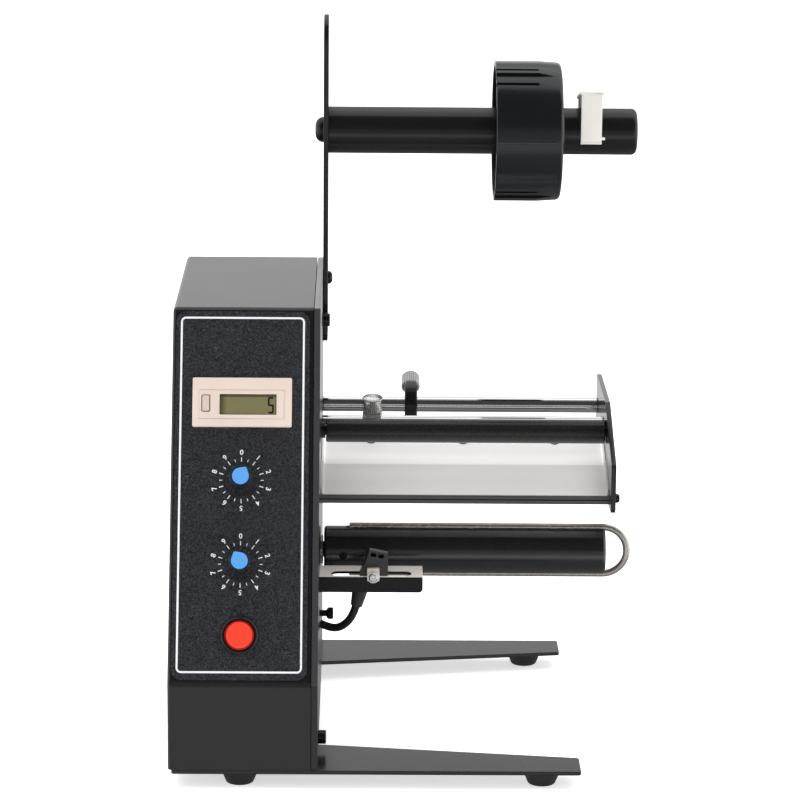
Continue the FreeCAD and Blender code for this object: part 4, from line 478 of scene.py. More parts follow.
class Paint(Nodes):
    """One finish, built up from nodes."""

    def __init__(self, name, color, roughness, metallic=0.0):
        self.material = bpy.data.materials.new(name)
        self.material.use_nodes = True
        super().__init__(self.material.node_tree)
        self.tree.nodes.clear()
        self.output = self.tree.nodes.new("ShaderNodeOutputMaterial")
        self.shader = self.tree.nodes.new("ShaderNodeBsdfPrincipled")
        self.tree.links.new(self.shader.outputs["BSDF"], self.output.inputs["Surface"])
        self.put("Base Color", (*color, 1.0))
        self.put("Roughness", roughness)
        self.put("Metallic", metallic)

    def put(self, name, value):
        self.feed(self.shader.inputs[name], value)

    def place(self, scale=(1, 1, 1)):
        """Object coordinates, stretched to suit the pattern."""
        spot = self.node("ShaderNodeTexCoord", output="Object")
        return self.node("ShaderNodeMapping", {"vector_type": "POINT"}, {"Vector": spot, "Scale": scale})

    def noise(self, where, scale, detail=2.0, rough=0.5):
        return self.node("ShaderNodeTexNoise", {"noise_dimensions": "3D"},
                         {"Vector": where, "Scale": scale, "Detail": detail, "Roughness": rough})

    def blend(self, low, high, mask):
        low, high = (color if isinstance(color, Value) else (*color, 1.0) for color in (low, high))
        return self.node("ShaderNodeMix", {"data_type": "RGBA"}, {0: mask, 6: low, 7: high}, 2)

    def relief(self, height, depth_mm):
        """Bump the surface by a height of that many millimetres."""
        self.put("Normal", self.node("ShaderNodeBump", None, {"Height": height, "Distance": depth_mm * MM}))


def tint(color, factor):
    return tuple(min(1.0, channel * factor) for channel in color)


def powder_coat(name, color, roughness=0.22, depth=0.006):
    """Baked powder: a fine orange-peel skin, slightly clouded."""
    paint = Paint(name, color, roughness)
    where = paint.place()
    peel = paint.noise(where, 1400.0, 3.0, 0.55)
    cloud = paint.noise(where, 28.0, 2.0)
    paint.put("Base Color", paint.blend(tint(color, 0.8), tint(color, 1.25), cloud))
    paint.put("Roughness", roughness + (cloud - 0.5) * 0.03 + (peel - 0.5) * 0.06)
    paint.relief(peel, depth)
    return paint.material


def printed_film(name, color):
    """Panel film with a sandy emboss and pale specks."""
    paint = Paint(name, color, 0.5)
    where = paint.place()
    sand = paint.noise(where, 1300.0, 2.0, 0.6)
    specks = paint.noise(where, 1700.0, 1.0, 0.5)
    pale = specks.between(0.62, 0.72)
    body = paint.blend(tint(color, 0.25), tint(color, 1.6), sand.between(0.40, 0.60))
    paint.put("Base Color", paint.blend(body, tint(color, 5.0), pale * 0.7))
    paint.put("Roughness", 0.46 + sand * 0.16)
    paint.relief(sand, 0.05)
    return paint.material


def moulded(name, color, roughness=0.35, depth=0.01, coat=0.0, grain=900.0, glow=None, shine=0.5, shade=1.0):
    """Moulded plastic: faint flow clouds and a fine tool texture."""
    color = tint(color, shade)
    paint = Paint(name, color, roughness)
    where = paint.place()
    texture = paint.noise(where, grain, 2.0)
    flow = paint.noise(where, 45.0, 3.0)
    paint.put("Base Color", paint.blend(tint(color, 0.90), tint(color, 1.08), flow))
    paint.put("Roughness", roughness + (flow - 0.5) * 0.12)
    paint.put("Specular IOR Level", shine)
    paint.relief(texture, depth)
    if coat:
        paint.put("Coat Weight", coat)
        paint.put("Coat Roughness", 0.08)
    if glow:
        paint.put("Emission Color", (*glow, 1.0))
        paint.put("Emission Strength", 0.35)
    return paint.material


def drawn_metal(name, color, roughness, stretch, scale, depth, metallic=1.0, spread=0.14, shine=0.5):
    """Metal with fine marks that run the way it was drawn, ground or turned."""
    paint = Paint(name, color, roughness, metallic)
    marks = paint.noise(paint.place(scale=stretch), scale, 4.0, 0.65)
    cloud = paint.noise(paint.place(), 35.0, 2.0)
    paint.put("Base Color", paint.blend(tint(color, 0.86), tint(color, 1.06), marks))
    paint.put("Roughness", roughness + (marks - 0.5) * spread + (cloud - 0.5) * spread * 0.6)
    paint.put("Specular IOR Level", shine)
    paint.relief(marks, depth)
    return paint.material


def rubbery(name, color, roughness=0.55, dust=0.0):
    """Ground rubber with a little dust in its grain."""
    paint = Paint(name, color, roughness)
    where = paint.place()
    grain = paint.noise(where, 1500.0, 3.0, 0.6)
    motes = paint.noise(where, 420.0, 6.0, 0.75).between(0.60, 0.72)
    paint.put("Base Color", paint.blend(color, tint(color, 6.0), motes * dust))
    paint.put("Roughness", roughness + (grain - 0.5) * 0.2)
    paint.relief(grain, 0.02)
    return paint.material


def creased_aluminium(name, color):
    """Satin plate, ground along the machine. It is painted darker in front of its crease, a painted shade where
    the two bands reflect differently, and its top carries a painted glow, painted light that lifts the shadow of
    the roller and rods above it.
    """
    paint = Paint(name, color, 0.42, 0.35)
    _, y, z = paint.split(paint.place())
    rear = y.between((FRONT + CREASE - 0.5) * MM, (FRONT + CREASE + 0.5) * MM)
    marks = paint.noise(paint.place(scale=(1, 60, 60)), 90.0, 4.0, 0.65)
    rise = math.tan(math.radians(REAR_SLOPE))
    level = DECK + CREASE_UP - (FRONT + CREASE) * rise
    upper = (z - y * rise).between((level - 0.9) * MM, (level - 0.4) * MM)
    # painted shade: the band in front of the crease is coloured darker than the band behind it
    front = paint.blend(tint(color, 0.76), tint(color, 0.82), marks)
    back = paint.blend(tint(color, 0.84), tint(color, 0.90), marks)
    paint.put("Base Color", paint.blend(front, back, rear))
    # painted light: an emission on the top, rising towards the crease in front and strongest behind it, stands in
    # for light under the roller's shadow
    before = y.between((FRONT + CREASE - 18.0) * MM, (FRONT + CREASE - 0.5) * MM, 0.0, 0.26)
    behind = y.between((FRONT + CREASE) * MM, (FRONT + CREASE + 9.0) * MM, 0.40, 1.0)
    glow = (before + (behind - before) * rear) * upper
    paint.put("Emission Color", paint.blend((0.0, 0.0, 0.0), (1.0, 0.99, 0.98), glow))
    paint.put("Emission Strength", 0.58)
    paint.put("Metallic", 0.30 - rear * 0.28)
    paint.put("Roughness", 0.42 + (marks - 0.5) * 0.10 + rear * 0.2)
    paint.relief(marks, 0.003)
    return paint.material


def edged_black(name, color):
    """The side plate's black coat, greyer along its front edge, with a painted highlight along its top edge where
    light from above falls on it.
    """
    paint = Paint(name, color, 0.22)
    where = paint.place()
    _, y, z = paint.split(where)
    slope = (y - FRONT * MM) * math.cos(TILT) - (z - (DECK + SKIRT) * MM) * math.sin(TILT)
    # a greyer strip along the front edge
    edge = slope.between(0.1 * MM, 0.35 * MM, 1.0, 0.0)
    # painted highlight: the top edge is coloured lighter, as the light from above catches it
    top = z.between((DECK + HOUSING_HEIGHT - 0.35) * MM, (DECK + HOUSING_HEIGHT - 0.1) * MM)
    cloud = paint.noise(where, 28.0, 2.0)
    body = paint.blend(tint(color, 0.8), tint(color, 1.25), cloud)
    greyed = paint.blend(body, (0.045, 0.045, 0.047), edge)
    paint.put("Base Color", paint.blend(greyed, (0.12, 0.12, 0.12), top))
    paint.put("Roughness", 0.22 + (cloud - 0.5) * 0.10)
    paint.relief(paint.noise(where, 1400.0, 3.0, 0.55), 0.006)
    return paint.material


def bracket_black(name, color):
    """Black bracket whose shelf is coloured a pale grey with fine marks on top."""
    paint = Paint(name, color, 0.25)
    height = paint.split(paint.place())[2]
    # the shelf's top face is coloured a pale grey
    pale_top = height.between((BRACKET_Z - 0.5) * MM, (BRACKET_Z - 0.2) * MM)
    marks = paint.noise(paint.place(scale=(1, 30, 30)), 160.0, 3.0)
    pale_top_color = paint.blend((0.66, 0.61, 0.57), (0.80, 0.75, 0.70), marks)
    paint.put("Base Color", paint.blend(color, pale_top_color, pale_top))
    paint.put("Roughness", 0.25 + pale_top * 0.15)
    paint.put("Specular IOR Level", 0.2)
    paint.relief(marks, 0.003)
    return paint.material


def display_glass(name, color):
    """Olive display, darker along its top and left where the bezel shades it."""
    width, height, shift, rise = LCD
    paint = Paint(name, color, 0.16)
    x, y, z = paint.split(paint.place())
    middle = FRONT * math.sin(TILT) + (DECK + SKIRT) * math.cos(TILT) + COUNTER_UP + rise
    across = x - (PANEL_MIDDLE + shift) * MM
    above = y * math.sin(TILT) + z * math.cos(TILT) - middle * MM
    lit = across.between(-width / 2 * MM, (-width / 2 + 4.0) * MM, 0.22, 0.94)
    lit = lit * across.between((width / 2 - 0.7) * MM, (width / 2 - 0.3) * MM, 1.0, 0.45)
    lit = lit * above.between((height / 2 - 1.6) * MM, (height / 2 - 1.1) * MM, 1.0, 0.30)
    lit = lit * above.between((-height / 2 + 0.2) * MM, (-height / 2 + 0.6) * MM, 0.45, 1.0)
    cells = paint.noise(paint.place(), 500.0, 2.0)
    glow = paint.blend(tint(color, 0.12), tint(color, 1.1), lit)
    paint.put("Base Color", paint.blend(glow, tint(color, 1.2), cells * 0.12))
    paint.put("Roughness", 0.16 + cells * 0.06)
    return paint.material


# How each finish is made: its maker, its colour or the name of a colour of the sidebar, and the rest of what
# the maker takes, in its order; what is out of that order comes last, by name.
# moulded: roughness, depth of the texture, coat. drawn_metal: roughness, how the marks are stretched, their
# scale and depth, metallic, spread of the roughness. rubbery: roughness, dust.
RECIPES = {
    "housing black": (powder_coat, "housing"),
    "plate black": (powder_coat, "housing"),
    "gloss black": (powder_coat, (0.012, 0.012, 0.013), 0.16, 0.004),
    "side black": (edged_black, "housing"),
    "bracket black": (bracket_black, "housing"),
    "panel film": (printed_film, "film"),
    "print white": (moulded, (0.86, 0.87, 0.88), 0.5, 0.002),
    "counter cream": (moulded, "counter", 0.48, 0.006),
    "key cream": (moulded, "counter", 0.4, 0.004, {"shade": 0.86}),
    "display": (display_glass, "display"),
    "display ink": (moulded, (0.012, 0.014, 0.010), 0.25),
    "eye black": (moulded, (0.001, 0.001, 0.001), 0.8, {"shine": 0.02}),
    "knob black": (moulded, (0.012, 0.012, 0.014), 0.30, 0.006, 0.2),
    "cap blue": (moulded, "cap", 0.32, 0.004, 0.25),
    # a darker copy of the cap's blue: painted shade round the cap
    "cap rim blue": (moulded, (0.005, 0.045, 0.16)),
    "lens red": (moulded, "lens", 0.18, 0.002, 0.6, {"glow": (1.0, 0.05, 0.02)}),
    "lens skirt": (moulded, (0.30, 0.008, 0.006), 0.22, 0.01, 0.5),
    "black moulding": (moulded, (0.014, 0.014, 0.015), 0.32),
    "sensor black": (moulded, (0.030, 0.031, 0.031), 0.45),
    "hub black": (moulded, (0.007, 0.008, 0.0095), 0.22, 0.01, 0.15, {"grain": 500.0}),
    "clip white": (moulded, (0.80, 0.78, 0.73), 0.30, 0.006, 0.15),
    "board green": (moulded, (0.02, 0.16, 0.06), 0.4),
    "gear acetal": (moulded, (0.80, 0.79, 0.73)),
    "shaft black": (drawn_metal, (0.008, 0.008, 0.008), 0.20, (60, 1, 1), 300.0, 0.003, 0.0),
    "roller black": (drawn_metal, (0.010, 0.010, 0.011), 0.20, (40, 1, 1), 260.0, 0.005, 0.0, {"shine": 1.0}),
    "black oxide": (drawn_metal, (0.045, 0.045, 0.046), 0.34, (1, 1, 1), 900.0, 0.006, 0.9),
    "bar dark": (drawn_metal, (0.17, 0.17, 0.17), 0.38, (1, 30, 30), 160.0, 0.004),
    "core steel": (drawn_metal, (0.10, 0.10, 0.11), 0.5, (1, 80, 1), 200.0, 0.01, 0.8),
    "chrome": (drawn_metal, (0.93, 0.93, 0.94), 0.055, (50, 1, 1), 240.0, 0.0015, 1.0, 0.05),
    "bright steel": (drawn_metal, (0.70, 0.69, 0.67), 0.24, (1, 1, 1), 900.0, 0.004),
    "wire steel": (drawn_metal, (0.62, 0.58, 0.54), 0.26, (1, 20, 20), 300.0, 0.003, 0.9),
    "knurled steel": (drawn_metal, (0.90, 0.90, 0.89), 0.24, (1, 1, 1), 1200.0, 0.004, 0.8),
    "dark knurl": (drawn_metal, (0.60, 0.60, 0.59), 0.32, (1, 1, 1), 1200.0, 0.004, 0.75),
    "plate aluminium": (creased_aluminium, "aluminium"),
    "cast alloy": (drawn_metal, (0.55, 0.55, 0.56), 0.5, (1, 1, 1), 500.0, 0.02),
    "brass strap": (drawn_metal, (0.82, 0.74, 0.60), 0.30, (1, 1, 1), 700.0, 0.004, 0.7),
    "brass": (drawn_metal, (0.72, 0.52, 0.22), 0.30, (1, 1, 1), 700.0, 0.004),
    "rubber": (rubbery, (0.014, 0.014, 0.015)),
    "roller rubber": (rubbery, (0.012, 0.012, 0.012), 0.26, 0.5),
    "lead rubber": (rubbery, (0.012, 0.012, 0.013), 0.42),
}


class Finishes(dict):
    """Every finish by name, made when it is first asked for."""

    def __missing__(self, name):
        maker, color, *values = RECIPES[name]
        options = values.pop() if values and isinstance(values[-1], dict) else {}
        if isinstance(color, str):
            color = getattr(colors(), color)
        self[name] = maker(name.replace(" ", "_"), color, *values, **options)
        return self[name]


finishes = Finishes()


def colors():
    return bpy.context.scene.dispenser_colors


def sizes():
    return bpy.context.scene.dispenser_sizes


class DispenserColors(bpy.types.PropertyGroup):
    """Colours of the finishes."""

    housing: FloatVectorProperty(name="Housing", description="Powder coat of the housing and base",
                                 subtype="COLOR", default=(0.008, 0.008, 0.0085), min=0, max=1)
    film: FloatVectorProperty(name="Panel film", description="Ground colour of the printed panel",
                              subtype="COLOR", default=(0.019, 0.020, 0.0245), min=0, max=1)
    counter: FloatVectorProperty(name="Counter", description="Case of the panel counter", subtype="COLOR",
                                 default=(0.76, 0.635, 0.555), min=0, max=1)
    display: FloatVectorProperty(name="Display", description="Ground of the counter's display",
                                 subtype="COLOR", default=(0.178, 0.163, 0.078), min=0, max=1)
    cap: FloatVectorProperty(name="Knob cap", description="Caps of the two knobs", subtype="COLOR",
                             default=(0.100, 0.36, 0.80), min=0, max=1)
    lens: FloatVectorProperty(name="Lens", description="Lens of the switch", subtype="COLOR",
                              default=(0.90, 0.045, 0.025), min=0, max=1)
    aluminium: FloatVectorProperty(name="Peel plate", description="Aluminium of the peel plate",
                                   subtype="COLOR", default=(0.84, 0.83, 0.82), min=0, max=1)


class DispenserSizes(bpy.types.PropertyGroup):
    """Sizes of the trim, in metres."""

    line: FloatProperty(name="Border line", description="Width of the panel's border line", default=0.95 * MM,
                        min=0.2 * MM, max=4 * MM, unit="LENGTH")
    tick: FloatProperty(name="Tick width", description="Width of the dial's long ticks", default=0.42 * MM,
                        min=0.1 * MM, max=2 * MM, unit="LENGTH")
    digit: FloatProperty(name="Digit height", description="Height of the dial's digits", default=2.5 * MM,
                         min=1 * MM, max=6 * MM, unit="LENGTH")
    knurls: IntProperty(name="Knurls", description="Grooves round each thumbscrew", default=30, min=8, max=90)
    flutes: IntProperty(name="Flutes", description="Grooves round each knob", default=20, min=6, max=60)


# ---- screws and other small hardware -------------------------------------------------------------
def cross_recess(place, size, depth):
    arm = size * 0.26
    return [prism("recess_arm", rectangle(*arms), place, 2 * depth, -depth)
            for arms in ((size, arm), (arm, size))]


def hex_recess(place, across, depth):
    outline = circle(across / 2 / math.cos(math.pi / 6), steps=6)
    return prism("recess_hexagon", outline, place, 2 * depth, -depth)


def pan_head(name, place, diameter, height):
    """A pan head with a cross in it; the place is its seat, its z points out of it."""
    radius = diameter / 2
    stations = [(0, radius), (height * 0.45, radius)]
    for step in range(1, 5):
        angle = step / 4 * math.pi / 2
        stations.append((height * (0.45 + 0.55 * math.sin(angle)), radius * (0.62 + 0.38 * math.cos(angle))))
    head = turned(name, [*stations, (height, 0)], place, 40)
    return cut(head, *cross_recess(place @ upright(0, 0, height), diameter * 0.52, height * 0.55))


def cap_head(name, place, diameter, height, across):
    radius = diameter / 2
    stations = [(0, radius - 0.15), (0.15, radius), (height - 0.5, radius), (height - 0.15, radius - 0.18),
                (height, radius - 0.6), (height, 0)]
    head = turned(name, stations, place, 48)
    return cut(head, hex_recess(place @ upright(0, 0, height), across, height * 0.5))


def dome_head(name, place, diameter, height, across):
    radius, brim, sweep = diameter / 2, height * 0.12, math.radians(74)
    stations = [(0, radius), (brim, radius)]
    for step in range(1, 8):
        angle = step / 7 * sweep
        rise = (height - brim) * math.sin(angle) / math.sin(sweep)
        stations.append((brim + rise, radius * math.cos(angle) ** 0.7))
    head = turned(name, [*stations, (height, 0)], place, 56)
    return cut(head, hex_recess(place @ upright(0, 0, height), across, height * 0.45))


def flush_head(name, place, diameter):
    """The flat face of a countersunk screw, with its cross."""
    radius = diameter / 2
    head = turned(name, [(-0.8, radius - 0.7), (-0.05, radius), (0.0, radius - 0.05), (0.0, 0)], place, 36)
    return cut(head, *cross_recess(place, diameter * 0.55, 0.7))


def knurled_knob(name, place, start, length, diameter, stem, tip, waist=0.0, dish=0.5):
    """A knurled thumbscrew with chamfered ends and its stem.
    A waist draws its middle in, and a dish hollows its top."""
    radius = diameter / 2
    count = sizes().knurls
    top = start + length
    knob = turned(name, [(start, radius - 0.7), (start + 0.6, radius),
                         (start + length * 0.35, radius - waist * 0.8),
                         (start + length * 0.6, radius - waist),
                         (start + length * 0.82, radius - waist * 0.5), (top - 0.3, radius),
                         (top, radius - 0.25), (top - dish * 0.55, radius * 0.72),
                         (top - dish, radius * 0.35), (top - dish, 0)], Matrix.Identity(4), count * 4)
    flute(knob, count, 1 - 0.55 / radius, lambda distance, height: distance > (radius - waist - 0.1) * MM)
    settle(knob, place)
    shank = turned(name + "_stem", [(tip, stem / 2 - 0.3), (tip + 0.3, stem / 2), (start, stem / 2)],
                   place, 32)
    return join(name, knob, shank)


# ---- operators -----------------------------------------------------------------------------------
class Builder:
    """What every operator of the dispenser shares."""

    bl_options = {"REGISTER", "UNDO"}

    def execute(self, context):
        rest()
        self.build()
        rest()
        return {"FINISHED"}


# The camera: its place in millimetres, its angles in radians and its focal length on a 36 mm sensor.
CAMERA_SPOT = (-26.18, -1613.20, 556.53)
PITCH, YAW, ROLL = 0.238, 0.013, 0.009
FOCAL_LENGTH = 148.9

# Strength of the studio at angles from the front's level (0), over the top (90), to the back (180).
# Angles below the level are negative.
STUDIO = (
    (-180, 0.9), (-166, 0.9), (-160, 0.2), (-100, 0.2), (-97, 0.18), (-60, 0.16), (-31, 0.25), (-24, 0.75),
    (-13, 0.88), (-9.5, 0.3), (9, 0.3), (14, 0.05), (79, 0.05), (85, 1.15), (135, 1.15), (143, 0.5),
    (157, 0.5), (163, 1.0), (180, 1.0),
)
STUDIO_PEAK = 1.2           # the ramp holds shares of it
SIDE_STRENGTH = 1.3

# Each lamp: name, energy, spread in degrees, and where it shines.
LAMPS = (
    ("overhead", 1.9, 80, (0.0, -0.25, -1.0)),
    ("front", 0.98, 90, (0.0, 1.0, -0.55)),
)


class DISPENSER_OT_stage(Builder, bpy.types.Operator):
    """Floor, lights and camera"""

    bl_idname = "dispenser.stage"
    bl_label = "Stage"

    def build(self):
        self.camera()
        self.floor()
        self.sky()
        self.lights()

    def camera(self):
        look = Vector((math.sin(YAW) * math.cos(PITCH), math.cos(YAW) * math.cos(PITCH), -math.sin(PITCH)))
        right = Vector((math.cos(YAW), -math.sin(YAW), 0))
        over = right.cross(look)
        c, s = math.cos(ROLL), math.sin(ROLL)
        axes = Matrix((c * right + s * over, c * over - s * right, -look)).transposed().to_4x4()
        data = bpy.data.cameras.new("view")
        data.sensor_width = 36.0
        data.lens = FOCAL_LENGTH
        data.clip_end = 50.0
        camera = linked("view", data)
        camera.matrix_world = upright(*CAMERA_SPOT) @ axes
        bpy.context.scene.camera = camera

    def floor(self):
        rest()
        bpy.ops.mesh.primitive_plane_add(size=14.0, location=(0, 2.0, -0.0002))
        floor = named("floor")
        bpy.ops.object.transform_apply(location=True)
        pale = (0.93, 0.93, 0.93)
        paint = Paint("floor_pale", pale, 0.8)
        cloud = paint.noise(paint.place(), 0.8, 1.0)
        paint.put("Base Color", paint.blend(pale, (0.95, 0.95, 0.95), cloud))
        paint.put("Specular IOR Level", 0.1)
        paint.put("Emission Color", (1.0, 1.0, 1.0, 1.0))
        paint.put("Emission Strength", 0.6)
        floor.data.materials.append(paint.material)
        floor.visible_glossy = False

    def sky(self):
        """A studio round the machine, with one strength for each angle over and under it."""
        world = bpy.data.worlds.new("studio")
        bpy.context.scene.world = world
        world.use_nodes = True
        tree = Nodes(world.node_tree)
        x, y, z = tree.split(tree.node("ShaderNodeTexCoord", output="Generated"))
        angle = tree.node("ShaderNodeMath", {"operation": "ARCTAN2"}, {0: z, 1: 0.0 - y})
        stops = [((degrees + 180) / 360, strength / STUDIO_PEAK) for degrees, strength in STUDIO]
        share = angle / (2 * math.pi) + 0.5
        around = tree.node("ShaderNodeValToRGB", {"stops": stops}, {0: share}) * STUDIO_PEAK
        side = tree.node("ShaderNodeMath", {"operation": "ABSOLUTE"}, {0: x}).between(0.75, 0.95)
        tent = around * (1.0 - side) + side * SIDE_STRENGTH
        seen = tree.node("ShaderNodeLightPath", output="Is Camera Ray")
        strength = tent + (1.0 - tent) * seen
        background = world.node_tree.nodes["Background"]
        background.inputs["Color"].default_value = (1.0, 1.0, 1.0, 1.0)
        world.node_tree.links.new(strength.socket, background.inputs["Strength"])

    def lights(self):
        """Two broad lamps, from above and from the front; they light, and the tent is what shines."""
        bpy.context.scene.view_settings.view_transform = "Standard"
        for name, energy, spread, aim in LAMPS:
            data = bpy.data.lights.new(name, "SUN")
            data.energy = energy
            data.angle = math.radians(spread)
            lamp = linked(name, data)
            lamp.visible_glossy = False
            turn = Vector(aim).to_track_quat("-Z", "Y").to_matrix().to_4x4()
            lamp.matrix_world = Matrix.Translation((0, 0.5, 2.0)) @ turn


# Each point is its distance from the side plate, behind the front edge, and above the deck.
CABLE_ROUTE = [(SIDE_OUT + out, FRONT + back, DECK + up) for out, back, up in (
    (0.0, 84.0, 47.6),
    (4.1, 83.0, 46.0),
    (8.9, 80.6, 46.2),
    (13.1, 78.6, 49.2),
    (16.1, 77.6, 53.4),
    (18.5, 77.5, 60.0),
    (20.1, 77.5, 67.2),
)]
CABLE_D, CABLE_LENGTH = 4.0, 34.8


class DISPENSER_OT_lead(Builder, bpy.types.Operator):
    """The sensor's rubber lead, from the side plate to the sensor's boot"""

    bl_idname = "dispenser.lead"
    bl_label = "Sensor Lead"

    def build(self):
        line = self.route("lead_line", 0.0)
        evaluated = line.evaluated_get(bpy.context.evaluated_depsgraph_get())
        followed = bpy.data.meshes.new_from_object(evaluated)
        bpy.data.meshes.remove(followed)
        bpy.data.objects.remove(line)
        lead = self.route("sensor_lead", CABLE_D / 2 * MM)
        pick(lead)
        bpy.ops.object.convert(target="MESH")
        lead = named("sensor_lead")
        tidy(lead)
        smooth(lead, 60)
        lead.data.materials.clear()
        lead.data.materials.append(finishes["lead rubber"])
        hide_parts("sensor_cable")
        mm(*CABLE_ROUTE[0])
        mm(*CABLE_ROUTE[-2])
        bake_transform(lead)
        mm(*CABLE_ROUTE[0])

    def route(self, name, bevel):
        data = bpy.data.curves.new(name, "CURVE")
        data.dimensions = "3D"
        data.resolution_u = 24
        data.bevel_depth = bevel
        data.bevel_resolution = 8
        data.use_fill_caps = bevel > 0
        spline = data.splines.new("NURBS")
        spline.points.add(len(CABLE_ROUTE) - 1)
        for point, spot in zip(spline.points, CABLE_ROUTE):
            point.co = (*mm(*spot), 1.0)
        spline.order_u = 3
        spline.use_endpoint_u = True
        line = linked(name, data)
        bpy.context.view_layer.update()
        return line


def side_view(inset, low):
    """The housing's side view as (y, z) points, moved in by a wall."""
    lean = inset / math.cos(TILT)
    bend_up = DECK + SKIRT - (lean - inset) / math.tan(TILT)
    top_back = FRONT + SETBACK - inset * math.tan(TILT) + lean
    top = DECK + HOUSING_HEIGHT
    return [(FRONT + inset, low), (FRONT + inset, bend_up), (top_back, top - inset),
            (REAR - inset, top - inset), (REAR - inset, low)]


def panel_cutters(depth):
    """What comes through the panel: the knobs' shafts, the switch and the counter."""
    cutters = [prism("hole", circle(radius), on_panel(spot), depth, -depth / 2)
               for spot, radius in PANEL_HOLES]
    return [*cutters, prism("window", rectangle(*COUNTER_HOLE), on_panel(COUNTER_UP), depth, -depth / 2)]


class DISPENSER_OT_housing(Builder, bpy.types.Operator):
    """Bent sheet cover with its slots, cut-outs and screws"""

    bl_idname = "dispenser.housing"
    bl_label = "Housing"

    def build(self):
        shell = side_prism("cover_sheet", side_view(0.0, DECK), LEFT, LEFT + HOUSING_WIDTH)
        self.round_bends(shell)
        wall = LEFT + SHEET
        cutters = [side_prism("hollow", side_view(SHEET, DECK - 3), wall, wall + HOUSING_WIDTH)]
        cutters += panel_cutters(20)
        for row in range(6):
            vent = facing_rear(PANEL_MIDDLE, REAR, DECK + 121.6 + row * 8.0)
            cutters.append(prism("slot", rectangle(36.0, 3.2, radius=1.55, steps=5), vent, 8, -4))
        cutters.append(prism("inlet", rectangle(27, 20), facing_rear(PANEL_MIDDLE, REAR, INLET_Z), 8, -4))
        cut(shell, *cutters)
        soften(shell, 0.22, 2, 40)
        dress(shell, "frame", "housing black", "housing_cover", 32)
        self.screws()

    def round_bends(self, shell):
        """Roll the bends over: the four across the sheet, and those round the left wall."""
        edit(shell, "EDGE")
        bpy.ops.mesh.select_all(action="DESELECT")
        bpy.ops.object.mode_set(mode="OBJECT")
        points = shell.data.vertices
        for edge in shell.data.edges:
            a, b = (points[k].co / MM for k in edge.vertices)
            across = abs(a.x - b.x) > 10 and a.z > DECK + 1
            wall = a.x < LEFT + 0.01 and b.x < LEFT + 0.01 and max(a.z, b.z) > DECK + 1
            edge.select = across or wall
        bpy.ops.object.mode_set(mode="EDIT")
        bpy.ops.mesh.bevel(offset=2.2 * MM, segments=6, affect="EDGES")
        done(shell)

    def screws(self):
        heads = [pan_head("cover_screw", facing_rear(x, REAR, DECK + 10), 5.8, 1.6) for x in TAB_XS]
        heads += [flush_head("cover_screw", along_x(LEFT, y, DECK + 10) @ ABOUT, 5.0) for y in TAB_YS]
        dress(join("cover_screw_heads", *heads), "frame", "black oxide", "cover_screws")


class DISPENSER_OT_panel(Builder, bpy.types.Operator):
    """Panel film with its border line, ticks and digits"""

    bl_idname = "dispenser.panel"
    bl_label = "Panel Print"

    def build(self):
        width, length = HOUSING_WIDTH - 3.6, PANEL_LENGTH - 3.6
        middle = on_panel(PANEL_LENGTH / 2)
        film = prism("panel_sheet", rectangle(width, length, radius=5.0, steps=10), middle, FILM)
        cut(film, *panel_cutters(8))
        soften(film, 0.12, 2, 40)
        dress(film, "frame", "panel film", "control_overlay")
        self.border()
        for spot in (SPEED_UP, LENGTH_UP):
            self.dial(spot)

    def border(self):
        line = 2 * sizes().line / MM
        left, right, low, high = 4.0, 64.25, 5.1, 178.7
        width, height = right - left, high - low
        place = on_panel((low + high) / 2, LEFT + (left + right) / 2)
        border = prism("border_line", rectangle(width, height, radius=2.6, steps=8), place, PRINT, FILM)
        cut(border, prism("inside", rectangle(width - line, height - line, radius=1.5, steps=8), place, 2,
                          FILM - 1))
        dress(border, "frame", "print white")

    def dial(self, spot):
        """Ticks at every half digit, the ones between shorter and thinner, and the digits outside them."""
        marks = []
        base = on_panel(spot)
        for half in range(20):
            turn = base @ Matrix.Rotation(-math.radians(18 * half), 4, "Z")
            low, high, share = (9.3, 10.7, 0.8) if half % 2 else (9.1, 11.2, 1.0)
            tick = rectangle(sizes().tick / MM * share, high - low, 0, (low + high) / 2)
            marks.append(prism("tick", tick, turn, PRINT, FILM))
        for digit in range(10):
            turn = base @ Matrix.Rotation(-math.radians(36 * digit), 4, "Z")
            marks.append(self.numeral(str(digit), turn @ upright(0, 13.55, FILM)))
        dress(join("dial_marks_" + str(round(spot)), *marks), "frame", "print white")

    def numeral(self, text, place):
        rest()
        bpy.ops.object.text_add()
        letter = bpy.context.object.data
        letter.body = text
        letter.align_x = "CENTER"
        letter.align_y = "CENTER"
        letter.size = sizes().digit * 1.36            # a digit is 1 / 1.36 of the font's size
        letter.offset = 0.06 * MM
        letter.extrude = PRINT / 2 * MM
        letter.resolution_u = 6
        bpy.ops.object.convert(target="MESH")
        return settle(tidy(bpy.context.object, outward=False), place @ upright(0, 0, PRINT / 2))


